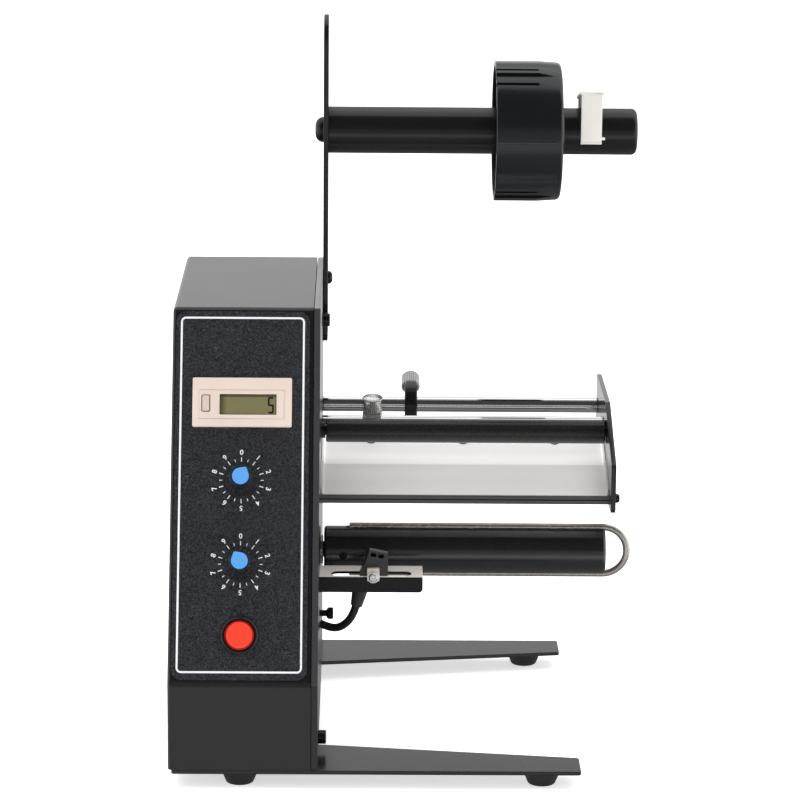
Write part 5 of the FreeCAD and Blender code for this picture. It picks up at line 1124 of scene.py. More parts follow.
class DISPENSER_OT_counter(Builder, bpy.types.Operator):
    """Panel counter with its display and reset key"""

    bl_idname = "dispenser.counter"
    bl_label = "Counter"

    def build(self):
        place = on_panel(COUNTER_UP)
        face = FILM + 2.6
        case = prism("counter_bezel", rectangle(48, 24, radius=0.8, steps=4), place, 2.6, FILM)
        body = prism("counter_body", rectangle(44.6, 21.4), place, 36.0, face - 36.0)
        weld(case, body)
        window = prism("window", rectangle(*LCD, radius=0.5, steps=3), place, 5, face - 1.2)
        pocket = prism("pocket", rectangle(4.2, 8.4, *KEY_MIDDLE, 0.7, 4), place, 5, face - 2.0)
        cut(case, window, pocket)
        soften(case, 0.35, 3, 40)
        seam = prism("seam", rectangle(41.5, 14.6, -0.2, -1.15, radius=0.5, steps=3), place, 1, face - 0.25)
        cut(seam, prism("inside", rectangle(40.7, 13.8, -0.2, -1.15, radius=0.4, steps=3), place, 3,
                        face - 1))
        cut(case, seam)
        dress(case, "frame", "counter cream", "counter_case", 35)
        self.display(place, face)
        self.key(place, face)

    def display(self, place, face):
        glass = prism("display_glass", rectangle(*LCD, radius=0.5, steps=3), place, 0.6, face - 1.2)
        dress(glass, "frame", "display", "counter_lcd")
        x, y, high, wide, line = 13.9, -1.45, 7.2, 2.1, 0.85
        across, down = (wide + 0.3, line), (line, high / 2 - 0.3)
        # The strokes of a 5: the top one, the upper left, the middle, the lower right and the bottom one.
        strokes = ((across, 0, high / 2), (down, -wide / 2, high / 4), (across, 0, 0),
                   (down, wide / 2, -high / 4), (across, 0, -high / 2))
        pieces = [prism("segment", rectangle(*size, x + dx, y + dy, 0.2, 2), place, 0.04, face - 0.6)
                  for size, dx, dy in strokes]
        dress(join("display_digit", *pieces), "frame", "display ink")

    def key(self, place, face):
        key = prism("reset_key", rectangle(3.3, 7.5, *KEY_MIDDLE, 0.5, 4), place, 1.7, face - 1.3)
        soften(key, 0.25, 3, 40)
        dress(key, "reset_key", "key cream", "counter_reset_key")


class DISPENSER_OT_knobs(Builder, bpy.types.Operator):
    """Two fluted knobs with drop-shaped caps"""

    bl_idname = "dispenser.knobs"
    bl_label = "Knobs"

    def build(self):
        for name, spot, body, pointer in (("length_knob", LENGTH_UP, "length_control", 31.0),
                                          ("speed_knob", SPEED_UP, "speed_control", -31.0)):
            place = on_panel(spot)
            dress(self.knob(name + "_body", place), body, "knob black", name, 40)
            cap = self.cap(name + "_drop", place @ Matrix.Rotation(-math.radians(pointer), 4, "Z"))
            dress(cap, body, "cap blue", name + "_cap", 40)
            # painted shade: a ring round the cap's foot in a much darker copy of the cap's blue
            rim = FILM + 12.7
            stations = [(rim, 4.2), (rim + 0.25, 4.2), (rim + 0.3, 4.35), (rim + 0.25, 4.5), (rim, 4.5)]
            dress(turned(name + "_rim", stations, place, 64, ring=True), body, "cap rim blue")

    def knob(self, name, place):
        foot, top = FILM + 0.5, FILM + 13.1
        count = sizes().flutes
        stations = [(foot, 6.8), (foot, 7.45), (foot + 0.15, 7.7), (foot + 0.9, 7.7), (foot + 1.3, 7.3),
                    (5.0, 6.2), (6.2, 5.85), (9.0, 5.7), (top - 1.0, 5.45), (top - 0.35, 5.25), (top, 4.85),
                    (top, 4.6), (top - 0.25, 4.4), (top - 0.25, 0)]
        knob = turned(name, stations, Matrix.Identity(4), count * 4)
        flute(knob, count, 0.93, lambda distance, height: (
            5.9 * MM < height < (top - 0.2) * MM and distance > 5.0 * MM))
        return settle(knob, place)

    def cap(self, name, place):
        """A round cap drawn out to a blunt tip that points along the place's y."""
        radius, tip, blunt = 4.0, 5.2, 0.18
        touch = math.acos(radius / tip)
        start, sweep = math.pi / 2 + touch, 2 * (math.pi - touch)
        angles = [start + sweep * step / 48 for step in range(49)]
        outline = [(radius * math.cos(angle), radius * math.sin(angle)) for angle in angles]
        outline += [(blunt, tip - 0.22), (-blunt, tip - 0.22)]
        cap = prism(name, outline, Matrix.Identity(4), 1.1, FILM + 12.85)
        soften(cap, 0.32, 3, 40)
        return settle(cap, place)


class DISPENSER_OT_switch(Builder, bpy.types.Operator):
    """Round push switch with its bezel and red lens"""

    bl_idname = "dispenser.switch"
    bl_label = "Switch"

    def build(self):
        place = on_panel(SWITCH_UP)
        top = FILM + 1.9
        bezel = turned("switch_bezel", [(-23.5, 8.1), (FILM, 8.1), (FILM, 9.0), (FILM + 0.15, 9.1),
                                        (top - 0.9, 9.1), (top - 0.35, 8.85), (top, 8.3), (top - 0.05, 7.9),
                                        (top - 0.6, 7.4), (-17.4, 7.35), (-17.5, 0)], place, 96)
        dress(bezel, "frame", "black moulding", "power_switch_body", 35)
        lens_top = top + 1.6
        skirt = turned("switch_lens_skirt", [(-10.3, 7.1), (lens_top - 1.35, 7.12), (lens_top - 1.1, 6.95),
                                             (lens_top - 0.95, 6.5), (lens_top - 1.0, 0)], place, 96)
        dress(skirt, "button", "lens skirt")
        lens = turned("switch_lens", [(lens_top - 1.3, 6.35), (lens_top - 0.45, 6.2), (lens_top - 0.15, 5.95),
                                      (lens_top, 5.5), (lens_top, 3.0), (lens_top, 0)], place, 96)
        dress(lens, "button", "lens red", "power_button")
        self.spring(place)

    def spring(self, place):
        """The return spring stands on the barrel's floor."""
        low, high, travel = -17.45, -10.35, 3.0
        radius, thick, turns = 5.0, 0.8, 4
        spots = []
        steps = 32 * turns
        for step in range(steps + 1):
            angle = 2 * math.pi * turns * step / steps
            rise = low + thick / 2 + (high - low - thick) * step / steps
            spots.append(place @ mm(radius * math.cos(angle), radius * math.sin(angle), rise))
        coil = wire("switch_coil", spots, thick, 3)
        dress(coil, "frame", "bright steel", "button_spring", 60)
        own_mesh(coil)


class DISPENSER_OT_base(Builder, bpy.types.Operator):
    """Base plate with its legs, rubber feet and screws"""

    bl_idname = "dispenser.base"
    bl_label = "Base"

    def build(self):
        west, tip = LEFT + 1.6, 82.1
        corners = [(west, FRONT), (tip, FRONT), (tip, FRONT + 20), (SIDE_OUT, FRONT + 38),
                   (SIDE_OUT, REAR - 38), (tip, REAR - 20), (tip, REAR), (west, REAR)]
        radii = [1.5, 1.5, 1.5, 0, 0, 1.5, 1.5, 1.5]
        plate = prism("base_sheet", round_corners(corners, radii, 4), upright(0, 0, 7.0), DECK - 7.0)
        soften(plate, 0.25, 2, 50)
        low, high = DECK - 0.2, DECK + 18
        tabs = [block("tab", (LEFT + 1.8, y - 10, low), (LEFT + 3.8, y + 10, high)) for y in TAB_YS]
        tabs += [block("tab", (x - 5, REAR - 3.8, low), (x + 5, REAR - 1.8, high)) for x in TAB_XS]
        tabs.append(block("tab", (SIDE_IN - 2, FRONT + 20, low), (SIDE_IN, FRONT + 40, high)))
        for tab in tabs:
            soften(tab, 0.2, 1)
        piece = join("base_sheet", plate, *tabs)
        dress(piece, "frame", "plate black", "base_plate", 35)
        self.feet()

    def feet(self):
        feet, screws = [], []
        stations = [(0, 3.6), (0, 6.35), (0.35, 6.75), (6.7, 9.35), (7.0, 9.5), (7.0, 1.6), (4.0, 1.6),
                    (4.0, 3.6)]
        for x in (PANEL_MIDDLE, 63.5):
            for y in (-101.5, 83.5):
                feet.append(turned("foot", stations, upright(x, y, 0), 64, ring=True))
                seat = upright(x, y, 4.0) @ Matrix.Rotation(math.pi, 4, "X")
                screws.append(pan_head("foot_screw", seat, 6.0, 2.2))
        dress(join("feet", *feet), "frame", "rubber", "rubber_feet", 35)
        dress(join("foot_screw_heads", *screws), "frame", "bright steel", "foot_screws")


class DISPENSER_OT_side(Builder, bpy.types.Operator):
    """Side plate and what is screwed to it"""

    bl_idname = "dispenser.side"
    bl_label = "Side Plate"

    def build(self):
        outline = round_corners(side_view(0.0, DECK), [0.4, 2.2, 2.2, 2.2, 0.4], 5)
        plate = side_prism("side_sheet", outline, SIDE_IN, SIDE_OUT)
        holes = ((*TAKEUP, 6.0), (*LEAD_HOLE, 4.0))
        cut(plate, *[prism("hole", circle(radius), along_x(SIDE_IN, y, z), 8, -2) for y, z, radius in holes])
        soften(plate, 0.25, 2, 50)
        dress(plate, "frame", "side black", "side_plate", 32)
        heads = [cap_head("cap_screw", along_x(SIDE_OUT, y, z), 6.8, 3.8, 3.0)
                 for y, z in ((FRONT + 30, DECK + 6.6), (FRONT + 163, DECK + 186))]
        dress(join("cap_screw_heads", *heads), "frame", "black oxide", "side_plate_screws")
        post = turned("lead_post", [(-3, 1.6), (3.1, 1.6), (3.3, 2.2), (4.1, 3.0), (6.3, 3.0), (6.6, 2.7),
                                    (6.6, 0)], along_x(SIDE_OUT, FRONT + 95, DECK + 49.5), 48)
        dress(post, "frame", "black oxide", "cable_post")
        ring = turned("lead_grommet", [(-4.2, 5.0), (-3.0, 5.0), (-3.0, 4.0), (0.0, 4.0), (0.0, 0)],
                      along_x(SIDE_OUT, *LEAD_HOLE), 48)
        dress(ring, "frame", "rubber", "cable_grommet")
        bush = turned("output_flange", [(-5.5, 4.05), (-5.5, 6.0), (0.0, 6.0), (0.0, 7.5), (0.9, 7.5),
                                        (1.2, 7.2), (1.2, 4.05)], along_x(SIDE_OUT, *TAKEUP), 64, ring=True)
        dress(bush, "frame", "bright steel", "output_bush")


class DISPENSER_OT_roll_holder(Builder, bpy.types.Operator):
    """Upright arm, roll shaft, bolts, core hub and stop clip"""

    bl_idname = "dispenser.roll_holder"
    bl_label = "Roll Holder"

    def build(self):
        self.arm()
        self.shaft()
        self.hub()
        self.clip()

    def arm(self):
        low, high = DECK + 171.5, SHAFT[1] + 59.4
        outline = round_corners([(90, low), (90, high), (62, high), (62, low)], [5.0, 13.9, 13.9, 5.0], 16)
        strip = side_prism("arm_strip", outline, SIDE_OUT, ARM_OUT)
        soften(strip, 0.3, 2, 50)
        dress(strip, "frame", "plate black", "roll_arm", 32)
        heads = [
            dome_head("arm_bolt", along_x(ARM_OUT, SHAFT[0], DECK + 203.2), 6.8, 2.3, 2.5),
            flush_head("arm_bolt", along_x(ARM_OUT + 0.02, SHAFT[0], DECK + 180), 5.0),
            dome_head("arm_bolt", along_x(SIDE_OUT, *SHAFT) @ ABOUT, 13.0, 4.4, 5.0),
        ]
        dress(join("arm_bolt_heads", *heads), "frame", "black oxide", "arm_bolts", 40)

    def shaft(self):
        length, radius, nose = 158.7, 12.0, 3.0
        stations = [(0, radius - 0.1), (0.3, radius), (length - nose, radius),
                    *rounded(length - nose, radius, nose, nose, 8), (length, 0)]
        shaft = turned("roll_bar", stations, along_x(ARM_OUT, *SHAFT), 128)
        dress(shaft, "frame", "shaft black", "roll_shaft", 40)

    def hub(self):
        outer, small, wall, end, mouth = 36.0, 35.4, 2.6, HUB_WIDTH, 4.0
        sleeve, bore, floor, nose = 17.0, 13.55, HUB_WIDTH - 3.0, 2.4
        stations = [(0.0, outer - wall + 0.3), (0.0, outer - 0.35), (0.35, outer), (22.5, outer),
                    (end - nose, small), *rounded(end - nose, small, nose, nose, 6), (end, 20.0),
                    (end, bore + 0.4), (end - 0.4, bore), (mouth + 0.4, bore), (mouth, bore + 0.4),
                    (mouth, sleeve - 0.4), (mouth + 0.4, sleeve), (floor - 0.8, sleeve),
                    (floor, sleeve + 0.8), (floor, small - wall - 0.8), (floor - 0.8, small - wall),
                    (0.3, outer - wall)]
        place = along_x(HUB_X, *SHAFT)
        hub = turned("core_drum", stations, place, 192, ring=True)
        cutters = []
        slot_end, ramp_end, half = 21.8, 31.7, 2.8
        for finger in range(3):
            middle = 120.7 + 120.0 * finger
            for side in (-9.2, 9.2):
                cutters.append(self.spoke("slot", -1.0, slot_end, 28.2, 38.0, 0.85, middle + side))
            cutters.append(self.spoke("groove", -1.0, slot_end, 34.5, 38.0, half, middle))
            ramp = [(slot_end - 0.1, 34.5), (ramp_end, 35.72), (ramp_end, 38.0), (slot_end - 0.1, 38.0)]
            wedge = prism("groove", ramp, Matrix.Identity(4), 2 * half, -half)
            for point in wedge.data.vertices:
                if point.co.x > (ramp_end - 1) * MM:
                    point.co.z *= 0.04
            cutters.append(settle(wedge, self.turn(middle)))
        cut(hub, *cutters)
        soften(hub, 0.18, 2, 48)
        ribs = [self.spoke("rib", 9.0, floor + 0.5, sleeve - 0.3, small - wall + 0.4, 1.0,
                           162.0 + 60.0 * index) for index in range(6)]
        # a raised rib, coloured a lighter black than the hub: a painted highlight along it
        ridge = self.spoke("core_ridge", 1.0, end - 3.4, 35.2, 36.25, 0.25, 181.0)
        dress(ridge, "hub", "sensor black")
        dress(join("core_drum", hub, *ribs), "hub", "hub black", "core_hub", 32)
        start = mouth - 1.6
        bush = turned("hub_sleeve", [(start, 12.05), (start, 15.7), (start + 0.3, 16.0), (start + 1.3, 16.0),
                                     (start + 1.3, 13.5), (end + 0.3, 13.5), (end + 0.3, 14.5),
                                     (end + 1.6, 13.5), (end + 1.6, 12.05)], place, 96, ring=True)
        dress(bush, "bush", "black moulding", "hub_bush")

    def turn(self, degrees):
        """Matrix of a radial frame at an angle from +Y towards +Z: x along the shaft, y outwards."""
        return upright(HUB_X, *SHAFT) @ Matrix.Rotation(math.radians(degrees), 4, "X")

    def spoke(self, name, x0, x1, low, high, half, degrees):
        """A block in the hub's radial frame, from one radius to another."""
        return settle(block(name, (x0, low, -half), (x1, high, half)), self.turn(degrees))

    def clip(self):
        """The bridge slopes down to the rear. Two leaves hang from it, and two struts stand under it."""
        x0, x1 = 86.9, 97.65
        y, z = SHAFT
        gap, outer, thick = 12.05, 13.55, 1.5
        low = z - 4.6

        def roof(offset):
            return z + 22.5 + (16.3 - 22.5) * (offset + outer) / (2 * outer)

        def slab(name, points, start, end):
            return prism(name, [(-offset, height) for offset, height in points], along_x(start, y, 0), end - start)

        pieces = [slab("leaf", [(a, low), (b, low), (b, roof(b) - 0.5), (a, roof(a) - 0.5)], x0, x1)
                  for a, b in ((-outer, -gap), (gap, outer))]
        pieces.append(slab("bridge", [(-outer, roof(-outer)), (outer, roof(outer)),
                                      (outer, roof(outer) - thick), (-outer, roof(-outer) - thick)], x0 - 1.0,
                           x1 + 1.0))
        for piece in pieces:
            soften(piece, 0.35, 3)
        top = roof(0) - thick + 0.3
        for side in (-1, 1):
            pieces.append(slab("strut", [(0, top), (side * 1.2, top), (side * 5.0, z + 12.4),
                                         (side * 3.6, z + 12.4)], x0 + 0.5, x1 - 0.5))
        pieces.append(turned("nub", [(-0.5, 0.75), (1.3, 0.75), (1.65, 0.55), (1.8, 0.2), (1.8, 0)],
                             along_x(x1, y - gap - 0.75, low + 2.9), 24))
        pieces.append(turned("lip_bead", [(0, 0.5), (x1 - x0, 0.5)],
                             along_x(x0, y - outer + 0.1, low + 0.5), 16))
        dress(join("stop_bracket", *pieces), "stop", "clip white", "stop_clip", 40)


class DISPENSER_OT_web_path(Builder, bpy.types.Operator):
    """Rods, pressure roller, peel plate, bars, end plate and their screws"""

    bl_idname = "dispenser.web_path"
    bl_label = "Web Path"

    def build(self):
        self.rods()
        self.peel_plate()
        self.end_plate()

    def rods(self):
        length = END_IN - SIDE_OUT
        stations = [(0, 3.7), (0.3, 4.0), (length - 0.3, 4.0), (length, 3.7)]
        for name, node, y in (("rear_bar", "rear_guide_rod", REAR_ROD_Y),
                              ("front_bar", "front_guide_rod", FRONT_ROD_Y)):
            rod = turned(name, stations, along_x(SIDE_OUT, y, ROD_Z), 96)
            dress(rod, "frame", "chrome", node, 40)
        axle = turned("roller_pin", [(0, 4.0), (1.9, 4.0), (2.0, 3.9), (2.0, 2.5), (length, 2.5)],
                      along_x(SIDE_OUT, ROLLER_Y, ROD_Z), 48)
        dress(axle, "frame", "black oxide", "roller_axle")
        x0, x1 = SIDE_OUT + 2.3, END_IN - 0.3
        width = x1 - x0
        roller = turned("press_roll", [(0, 2.55), (0, 5.6), (0.5, 6.1), (width - 0.5, 6.1), (width, 5.6),
                                       (width, 2.55)], along_x(x0, ROLLER_Y, ROD_Z), 96, ring=True)
        dress(roller, "pressure", "roller rubber", "pressure_roller")

    def strip(self, above, below):
        """A strip along the peel plate, seen from the side, with the plate's crease."""
        distances = (PEEL_EDGE, CREASE - 1.5, CREASE, CREASE + 1.5, PEEL_END)
        top = [(FRONT + back, DECK + peel_height(back) + above) for back in distances]
        low = [(FRONT + back, DECK + peel_height(back) - below) for back in reversed(distances)]
        return top + low

    def peel_plate(self):
        x0, x1 = SIDE_OUT + 0.3, END_IN - 0.3
        plate = side_prism("peel_sheet", self.strip(0, PEEL_SHEET), x0, x1)
        rims = [side_prism("rim", self.strip(1.4, 1.4), x, x + 1.0) for x in (x0, x1 - 1.0)]
        for piece in (plate, *rims):
            soften(piece, 0.2, 2, 40)
        dress(join("peel_sheet", plate, *rims), "frame", "plate aluminium", "peel_plate", 30)
        seat = (FRONT + PEEL_SCREWS, DECK + peel_height(PEEL_SCREWS), -REAR_SLOPE)
        heads = [pan_head("peel_screw", leaning_back((SIDE_OUT + END_IN) / 2 + across, *seat), 5.4, 1.4)
                 for across in (-47.0, 0.0, 47.0)]
        dress(join("peel_screw_heads", *heads), "frame", "black oxide", "peel_plate_screws")
        self.edge_bar()

    def edge_bar(self):
        lip, top = LIP, peel_height(PEEL_EDGE)
        low, rear, groove = top - 4.3, lip + 8.6, top - 2.15
        outline = [(lip, low + 0.2), (lip + 0.2, low), (rear - 0.2, low), (rear, low + 0.2),
                   (rear, peel_height(rear) - PEEL_SHEET), (PEEL_EDGE, top - PEEL_SHEET), (PEEL_EDGE, top),
                   (lip + 0.4, top), (lip + 0.1, top - 0.15), (lip, top - 0.4), (lip, groove + 0.3),
                   (lip + 0.35, groove), (lip, groove - 0.3)]
        bar = side_prism("edge_strip", [(FRONT + back, DECK + up) for back, up in outline], SIDE_OUT, END_IN)
        dress(bar, "frame", "bar dark", "peel_edge_bar", 25)

    def end_plate(self):
        low, top, nose = 105.0, 150.0, 129.5
        shoulder = 86.0 + (top - nose) / math.tan(math.radians(22.5))
        corners = [(85, low), (86, nose), (shoulder, top), (200, top), (200, 126), (153, low)]
        outline = round_corners([(FRONT + back, DECK + up) for back, up in corners], 2.0, 5)
        plate = side_prism("end_sheet", outline, END_IN, END_OUT)
        soften(plate, 0.3, 2, 50)
        dress(plate, "frame", "gloss black", "end_plate", 32)
        # Flush screws hold the rods and the bar under the peel plate, pan heads the axle and the edge bar.
        under, slope = 5.0, math.radians(REAR_SLOPE)
        support = (PEEL_SCREWS + under * math.sin(slope), peel_height(PEEL_SCREWS) - under * math.cos(slope))
        heads = [flush_head("frame_screw", along_x(END_OUT + 0.02, FRONT + back, DECK + up), 5.4)
                 for back, up in ((190.0, 135.0), (149.0, 135.0), support)]
        heads += [pan_head("frame_screw", along_x(END_OUT, FRONT + back, DECK + up), wide, high)
                  for back, up, wide, high in ((133.0, 135.0, 5.4, 1.05),
                                               (LIP + 4.3, peel_height(PEEL_EDGE) - 2.15, 4.7, 3.0))]
        tab_z = BRACKET_Z - 0.75 - 4.1
        heads += [pan_head("frame_screw", along_x(SIDE_OUT + 1.5, BRACKET_Y + BRACKET_DEPTH * share, tab_z),
                           5.4, 1.5) for share in (0.35, 0.8)]
        dress(join("frame_screw_heads", *heads), "frame", "black oxide", "frame_screws", 40)


class DISPENSER_OT_guides(Builder, bpy.types.Operator):
    """Collar and label guide with their thumbscrews"""

    bl_idname = "dispenser.guides"
    bl_label = "Guides"

    def build(self):
        x = SIDE_OUT + 25.9
        collar = turned("guide_ring", [(-5, 4.05), (-5, 5.9), (-4.4, 6.5), (4.4, 6.5), (5, 5.9), (5, 4.05)],
                        along_x(x, FRONT_ROD_Y, ROD_Z), 72, ring=True)
        dress(collar, "collar", "knurled steel", "guide_collar")
        screw = knurled_knob("collar_screw_knob", leaning_back(x, FRONT_ROD_Y, ROD_Z, -11), start=6.8,
                             length=7.6, diameter=10.4, stem=4.0, tip=4.3, waist=0.6, dish=1.5)
        dress(screw, "collar_screw", "knurled steel", "collar_thumbscrew", 25)
        x = SIDE_OUT + 46.2
        guide = turned("label_disc", [(-3.2, 4.05), (-3.2, 11.9), (-2.6, 12.5), (2.6, 12.5), (3.2, 11.9),
                                      (3.2, 4.05)], along_x(x, REAR_ROD_Y, ROD_Z), 96, ring=True)
        dress(guide, "guide", "plate black", "label_guide")
        screw = knurled_knob("guide_screw_knob", leaning_back(x, REAR_ROD_Y, ROD_Z, 61), start=12.8,
                             length=8.4, diameter=9.8, stem=4.0, tip=4.3)
        dress(screw, "guide_screw", "dark knurl", "guide_thumbscrew", 25)


class DISPENSER_OT_take_up(Builder, bpy.types.Operator):
    """Grooved take-up roller, set screw and wire paper clip"""

    bl_idname = "dispenser.take_up"
    bl_label = "Take-up Roller"

    def build(self):
        start, length = SIDE_OUT + 1.6, 142.8
        place = along_x(start, *TAKEUP)
        roller = turned("take_up_roll", [(0, 10.8), (0.35, 11.35), (1.2, 12.0), (length - 1.2, 12.0),
                                         (length - 0.35, 11.35), (length, 10.8)], place, 128)
        screw_x = start + 9.7
        cutters = [prism("groove", circle(2.1, steps=40),
                         along_x(SIDE_OUT + 12.8, TAKEUP[0], TAKEUP[1] + side), 160)
                   for side in (-TAKEUP_GROOVE, TAKEUP_GROOVE)]
        cutters.append(prism("screw_hole", circle(2.0, steps=40), facing_front(screw_x, *TAKEUP), 14, 3))
        cut(roller, *cutters)
        soften(roller, 0.12, 2, 50)
        dress(roller, "takeup", "roller black", "takeup_roller", 32)
        grub = turned("grub_screw", [(5.0, 1.9), (10.2, 1.9), (10.5, 1.6), (10.5, 0)],
                      facing_front(screw_x, *TAKEUP), 32)
        cut(grub, hex_recess(facing_front(screw_x, TAKEUP[0] - 10.5, TAKEUP[1]), 2.0, 1.8))
        dress(grub, "takeup", "black oxide", "roller_set_screw")
        self.clip()

    def clip(self):
        half = TAKEUP_GROOVE
        x0, x1 = SIDE_OUT + 14.4, SIDE_OUT + 157.4 - 1.8 - half
        y, z = TAKEUP
        turns = [math.pi * step / 32 for step in range(33)]
        points = [(x0, y, z + half), *[(x1 + half * math.sin(turn), y, z + half * math.cos(turn))
                                       for turn in turns], (x0, y, z - half)]
        clip = wire("clip_wire", [mm(*spot) for spot in points], 3.6, 8)
        soften(clip, 0.5, 3, 60)
        dress(clip, "clip", "wire steel", "paper_clip", 60)


class DISPENSER_OT_sensor(Builder, bpy.types.Operator):
    """Slotted bracket with the label sensor, its strap and its screw"""

    bl_idname = "dispenser.sensor"
    bl_label = "Sensor"

    def build(self):
        self.bracket()
        self.head()
        self.strap()

    def bracket(self):
        x0, x1 = SIDE_OUT, SIDE_OUT + BRACKET_WIDTH
        y0, y1 = BRACKET_Y, BRACKET_Y + BRACKET_DEPTH
        low, high = BRACKET_Z - BRACKET_DROP, BRACKET_Z
        outline = round_corners([(y0, low), (y0, high), (y1, high), (y1, high - 1.5), (y0 + 1.2, high - 1.5),
                                 (y0 + 1.2, low)], [0, 1.0, 0, 0, 0, 0], 4)
        angle = side_prism("bracket_angle", outline, x0, x1)
        corner = block("corner", (x1 - 2, y0 - 1, low - 1), (x1 + 1, y0 + 3, low + 2))
        cut(corner, prism("keep", circle(2.0, x1 - 2.0, low + 2.0), facing_front(0, y0 + 4, 0), 6))
        length = 40.1
        slot = rectangle(length, 8.6, radius=4.0, steps=10)
        cut(angle, corner, prism("slot", slot, upright(x0 + 5.5 + length / 2, -34.5, high), 14, -7))
        tab = block("tab", (x0, y0 + 0.6, low), (x0 + 1.5, y1, high - 0.2))
        soften(tab, 0.2, 2)
        soften(angle, 0.15, 2, 50)
        piece = join("bracket_angle", angle, tab)
        dress(piece, "frame", "bracket black", "sensor_bracket", 32)

    def head(self):
        x0, x1 = SENSOR_X, SENSOR_X + SENSOR_WIDTH
        y0, y1 = SENSOR_FRONT, SENSOR_REAR
        foot, top, bevel = BRACKET_Z - 8.6, BRACKET_Z + 12.2, 3.6
        peak, fall = 4.9, 1.8                    # the top falls from its peak to the right side
        outline = [(x0, foot), (x1, foot), (x1, top - fall), (x0 + peak, top), (x0, BRACKET_Z)]
        head = prism("sensor_block", outline, facing_front(0, y1, 0), y1 - y0)
        slope = upright(x0 + peak, y0, top) @ Matrix.Rotation(math.atan2(fall, SENSOR_WIDTH - peak), 4, "Y")
        wedge = prism("wedge", [(2, -bevel - 2), (2, 2), (-bevel - 2, 2)], slope @ along_x(-9, 0, 0), 22)
        cutters, pits = [wedge], []
        lean = Matrix.Rotation(math.radians(45), 4, "X")
        for offset in (2.3, 6.15):
            spot = slope @ upright(offset, bevel / 2 + 0.25, 0.25 - bevel / 2) @ lean
            cutters.append(prism("eye", rectangle(2.9, 2.3, radius=0.8, steps=5), spot, 3.0, -1.2))
            pits.append(prism("pit", rectangle(2.8, 2.2, radius=0.75, steps=5), spot, 0.3, -1.3))
        cut(head, *cutters)
        soften(head, 0.2, 2, 35)
        end, before = Vector(CABLE_ROUTE[-1]), Vector(CABLE_ROUTE[-2])
        axis = (before - end).normalized()
        mouth = Vector((end.x, -34.5, foot + 0.6))
        turn = axis.to_track_quat("Z", "Y").to_matrix().to_4x4()
        boot = turned("boot", [(0, 2.3), (0, 3.8), (1.6, 3.8), (2.4, 3.7), (8.6, 2.95), (9.0, 2.7),
                               (9.0, 2.3)], Matrix.Translation(mouth * MM) @ turn, 48, ring=True)
        piece = join("sensor_block", head, boot)
        dress(piece, "sensor", "sensor black", "sensor_head", 35)
        dress(join("sensor_eyes", *pits), "sensor", "eye black")

    def strap(self):
        x, half = SENSOR_X + 6.8, 3.1
        y1 = BRACKET_Y - 0.3
        y0 = y1 - 1.0
        high, low = BRACKET_Z + 4.6, BRACKET_Z - 2.1
        strap = block("strap", (x - half, y0, low), (x + half, y1, high))
        foot = block("strap_foot", (x - half, y0 + 0.1, high - 2.5), (x + half, SENSOR_FRONT, high))
        for piece in (strap, foot):
            soften(piece, 0.25, 2)
        dress(join("sensor_strap", strap, foot), "sensor", "brass strap", "sensor_clamp")
        z = BRACKET_Z + 0.2
        washer = turned("washer", [(0, 1.3), (0, 3.0), (0.1, 3.1), (0.5, 3.1), (0.6, 3.0), (0.6, 0)],
                        facing_front(x, y0, z), 48)
        head = pan_head("head", facing_front(x, y0 - 0.6, z), 4.8, 1.9)
        dress(join("strap_screw", washer, head), "sensor", "knurled steel", "sensor_screw", 35)


class DISPENSER_OT_inlet(Builder, bpy.types.Operator):
    """Mains inlet in the rear wall"""

    bl_idname = "dispenser.inlet"
    bl_label = "Mains Inlet"

    def build(self):
        place = facing_rear(PANEL_MIDDLE, REAR, INLET_Z)
        flange = prism("inlet_flange", rectangle(33, 26, radius=2.0, steps=5), place, 2.4)
        body = prism("inlet_body", rectangle(26.9, 19.9), place, 24.5, -24.0)
        weld(flange, body)
        corners = [(-11.5, -7.8), (11.5, -7.8), (11.5, 3.5), (7.5, 7.8), (-7.5, 7.8), (-11.5, 3.5)]
        cut(flange, prism("socket", round_corners(corners, 0.8, 3), place, 20, 2.4 - 16.0))
        soften(flange, 0.3, 2, 40)
        pins = [prism("pin", rectangle(2, 4, x, y, radius=0.3, steps=2), place, 12, 2.4 - 17.0)
                for x, y in ((-7.0, -2.0), (0.0, 2.0), (7.0, -2.0))]
        dress(flange, "frame", "black moulding", "power_inlet", 35)
        dress(join("inlet_pins", *pins), "frame", "bright steel")


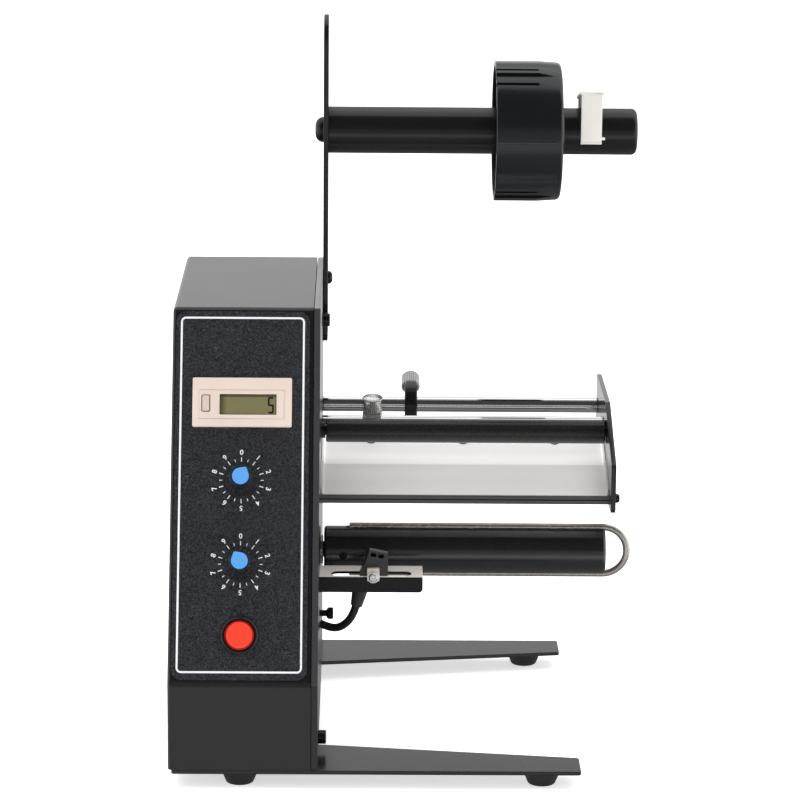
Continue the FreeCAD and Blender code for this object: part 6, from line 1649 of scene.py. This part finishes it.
class DISPENSER_OT_inside(Builder, bpy.types.Operator):
    """Finishes of the working parts that keep their own shapes"""

    bl_idname = "dispenser.inside"
    bl_label = "Inner Parts"

    kept = {
        "panel_pots": "bright steel", "control_board": "board green",
        "power_transformer": "core steel", "peel_support_bar": "plate black", "gearbox_case": "cast alloy",
        "gearbox_cover": "cast alloy", "gearbox_screws": "bright steel", "motor_can": "bright steel",
        "output_gear": "gear acetal", "idler_gear": "gear acetal", "motor_pinion": "brass",
    }

    def build(self):
        for node, finish in self.kept.items():
            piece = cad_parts[node]
            piece.data.materials.clear()
            piece.data.materials.append(finishes[finish])


OPERATORS = (
    DISPENSER_OT_stage, DISPENSER_OT_lead, DISPENSER_OT_housing, DISPENSER_OT_panel, DISPENSER_OT_counter,
    DISPENSER_OT_knobs, DISPENSER_OT_switch, DISPENSER_OT_base, DISPENSER_OT_side, DISPENSER_OT_roll_holder,
    DISPENSER_OT_web_path, DISPENSER_OT_guides, DISPENSER_OT_take_up, DISPENSER_OT_sensor, DISPENSER_OT_inlet,
    DISPENSER_OT_inside,
)


class DISPENSER_PT_sidebar(bpy.types.Panel):
    """Lists the colours, the sizes and the operators"""

    bl_idname = "DISPENSER_PT_sidebar"
    bl_label = "Label Dispenser"
    bl_space_type = "VIEW_3D"
    bl_region_type = "UI"
    bl_category = "Dispenser"

    def draw(self, context):
        for group in (colors(), sizes()):
            column = self.layout.column()
            for key in group.bl_rna.properties.keys():
                if key not in ("rna_type", "name"):
                    column.prop(group, key)
        for operator in OPERATORS:
            self.layout.operator(operator.bl_idname)


CLASSES = (DispenserColors, DispenserSizes, *OPERATORS, DISPENSER_PT_sidebar)


def register():
    for each in CLASSES:
        bpy.utils.register_class(each)
    bpy.types.Scene.dispenser_colors = PointerProperty(type=DispenserColors)
    bpy.types.Scene.dispenser_sizes = PointerProperty(type=DispenserSizes)


def unregister():
    del bpy.types.Scene.dispenser_sizes
    del bpy.types.Scene.dispenser_colors
    for each in reversed(CLASSES):
        bpy.utils.unregister_class(each)


def main():
    register()
    for operator in OPERATORS:
        getattr(bpy.ops.dispenser, operator.bl_idname.split(".")[1])()
    bpy.context.view_layer.update()


if __name__ == "__main__":
    main()
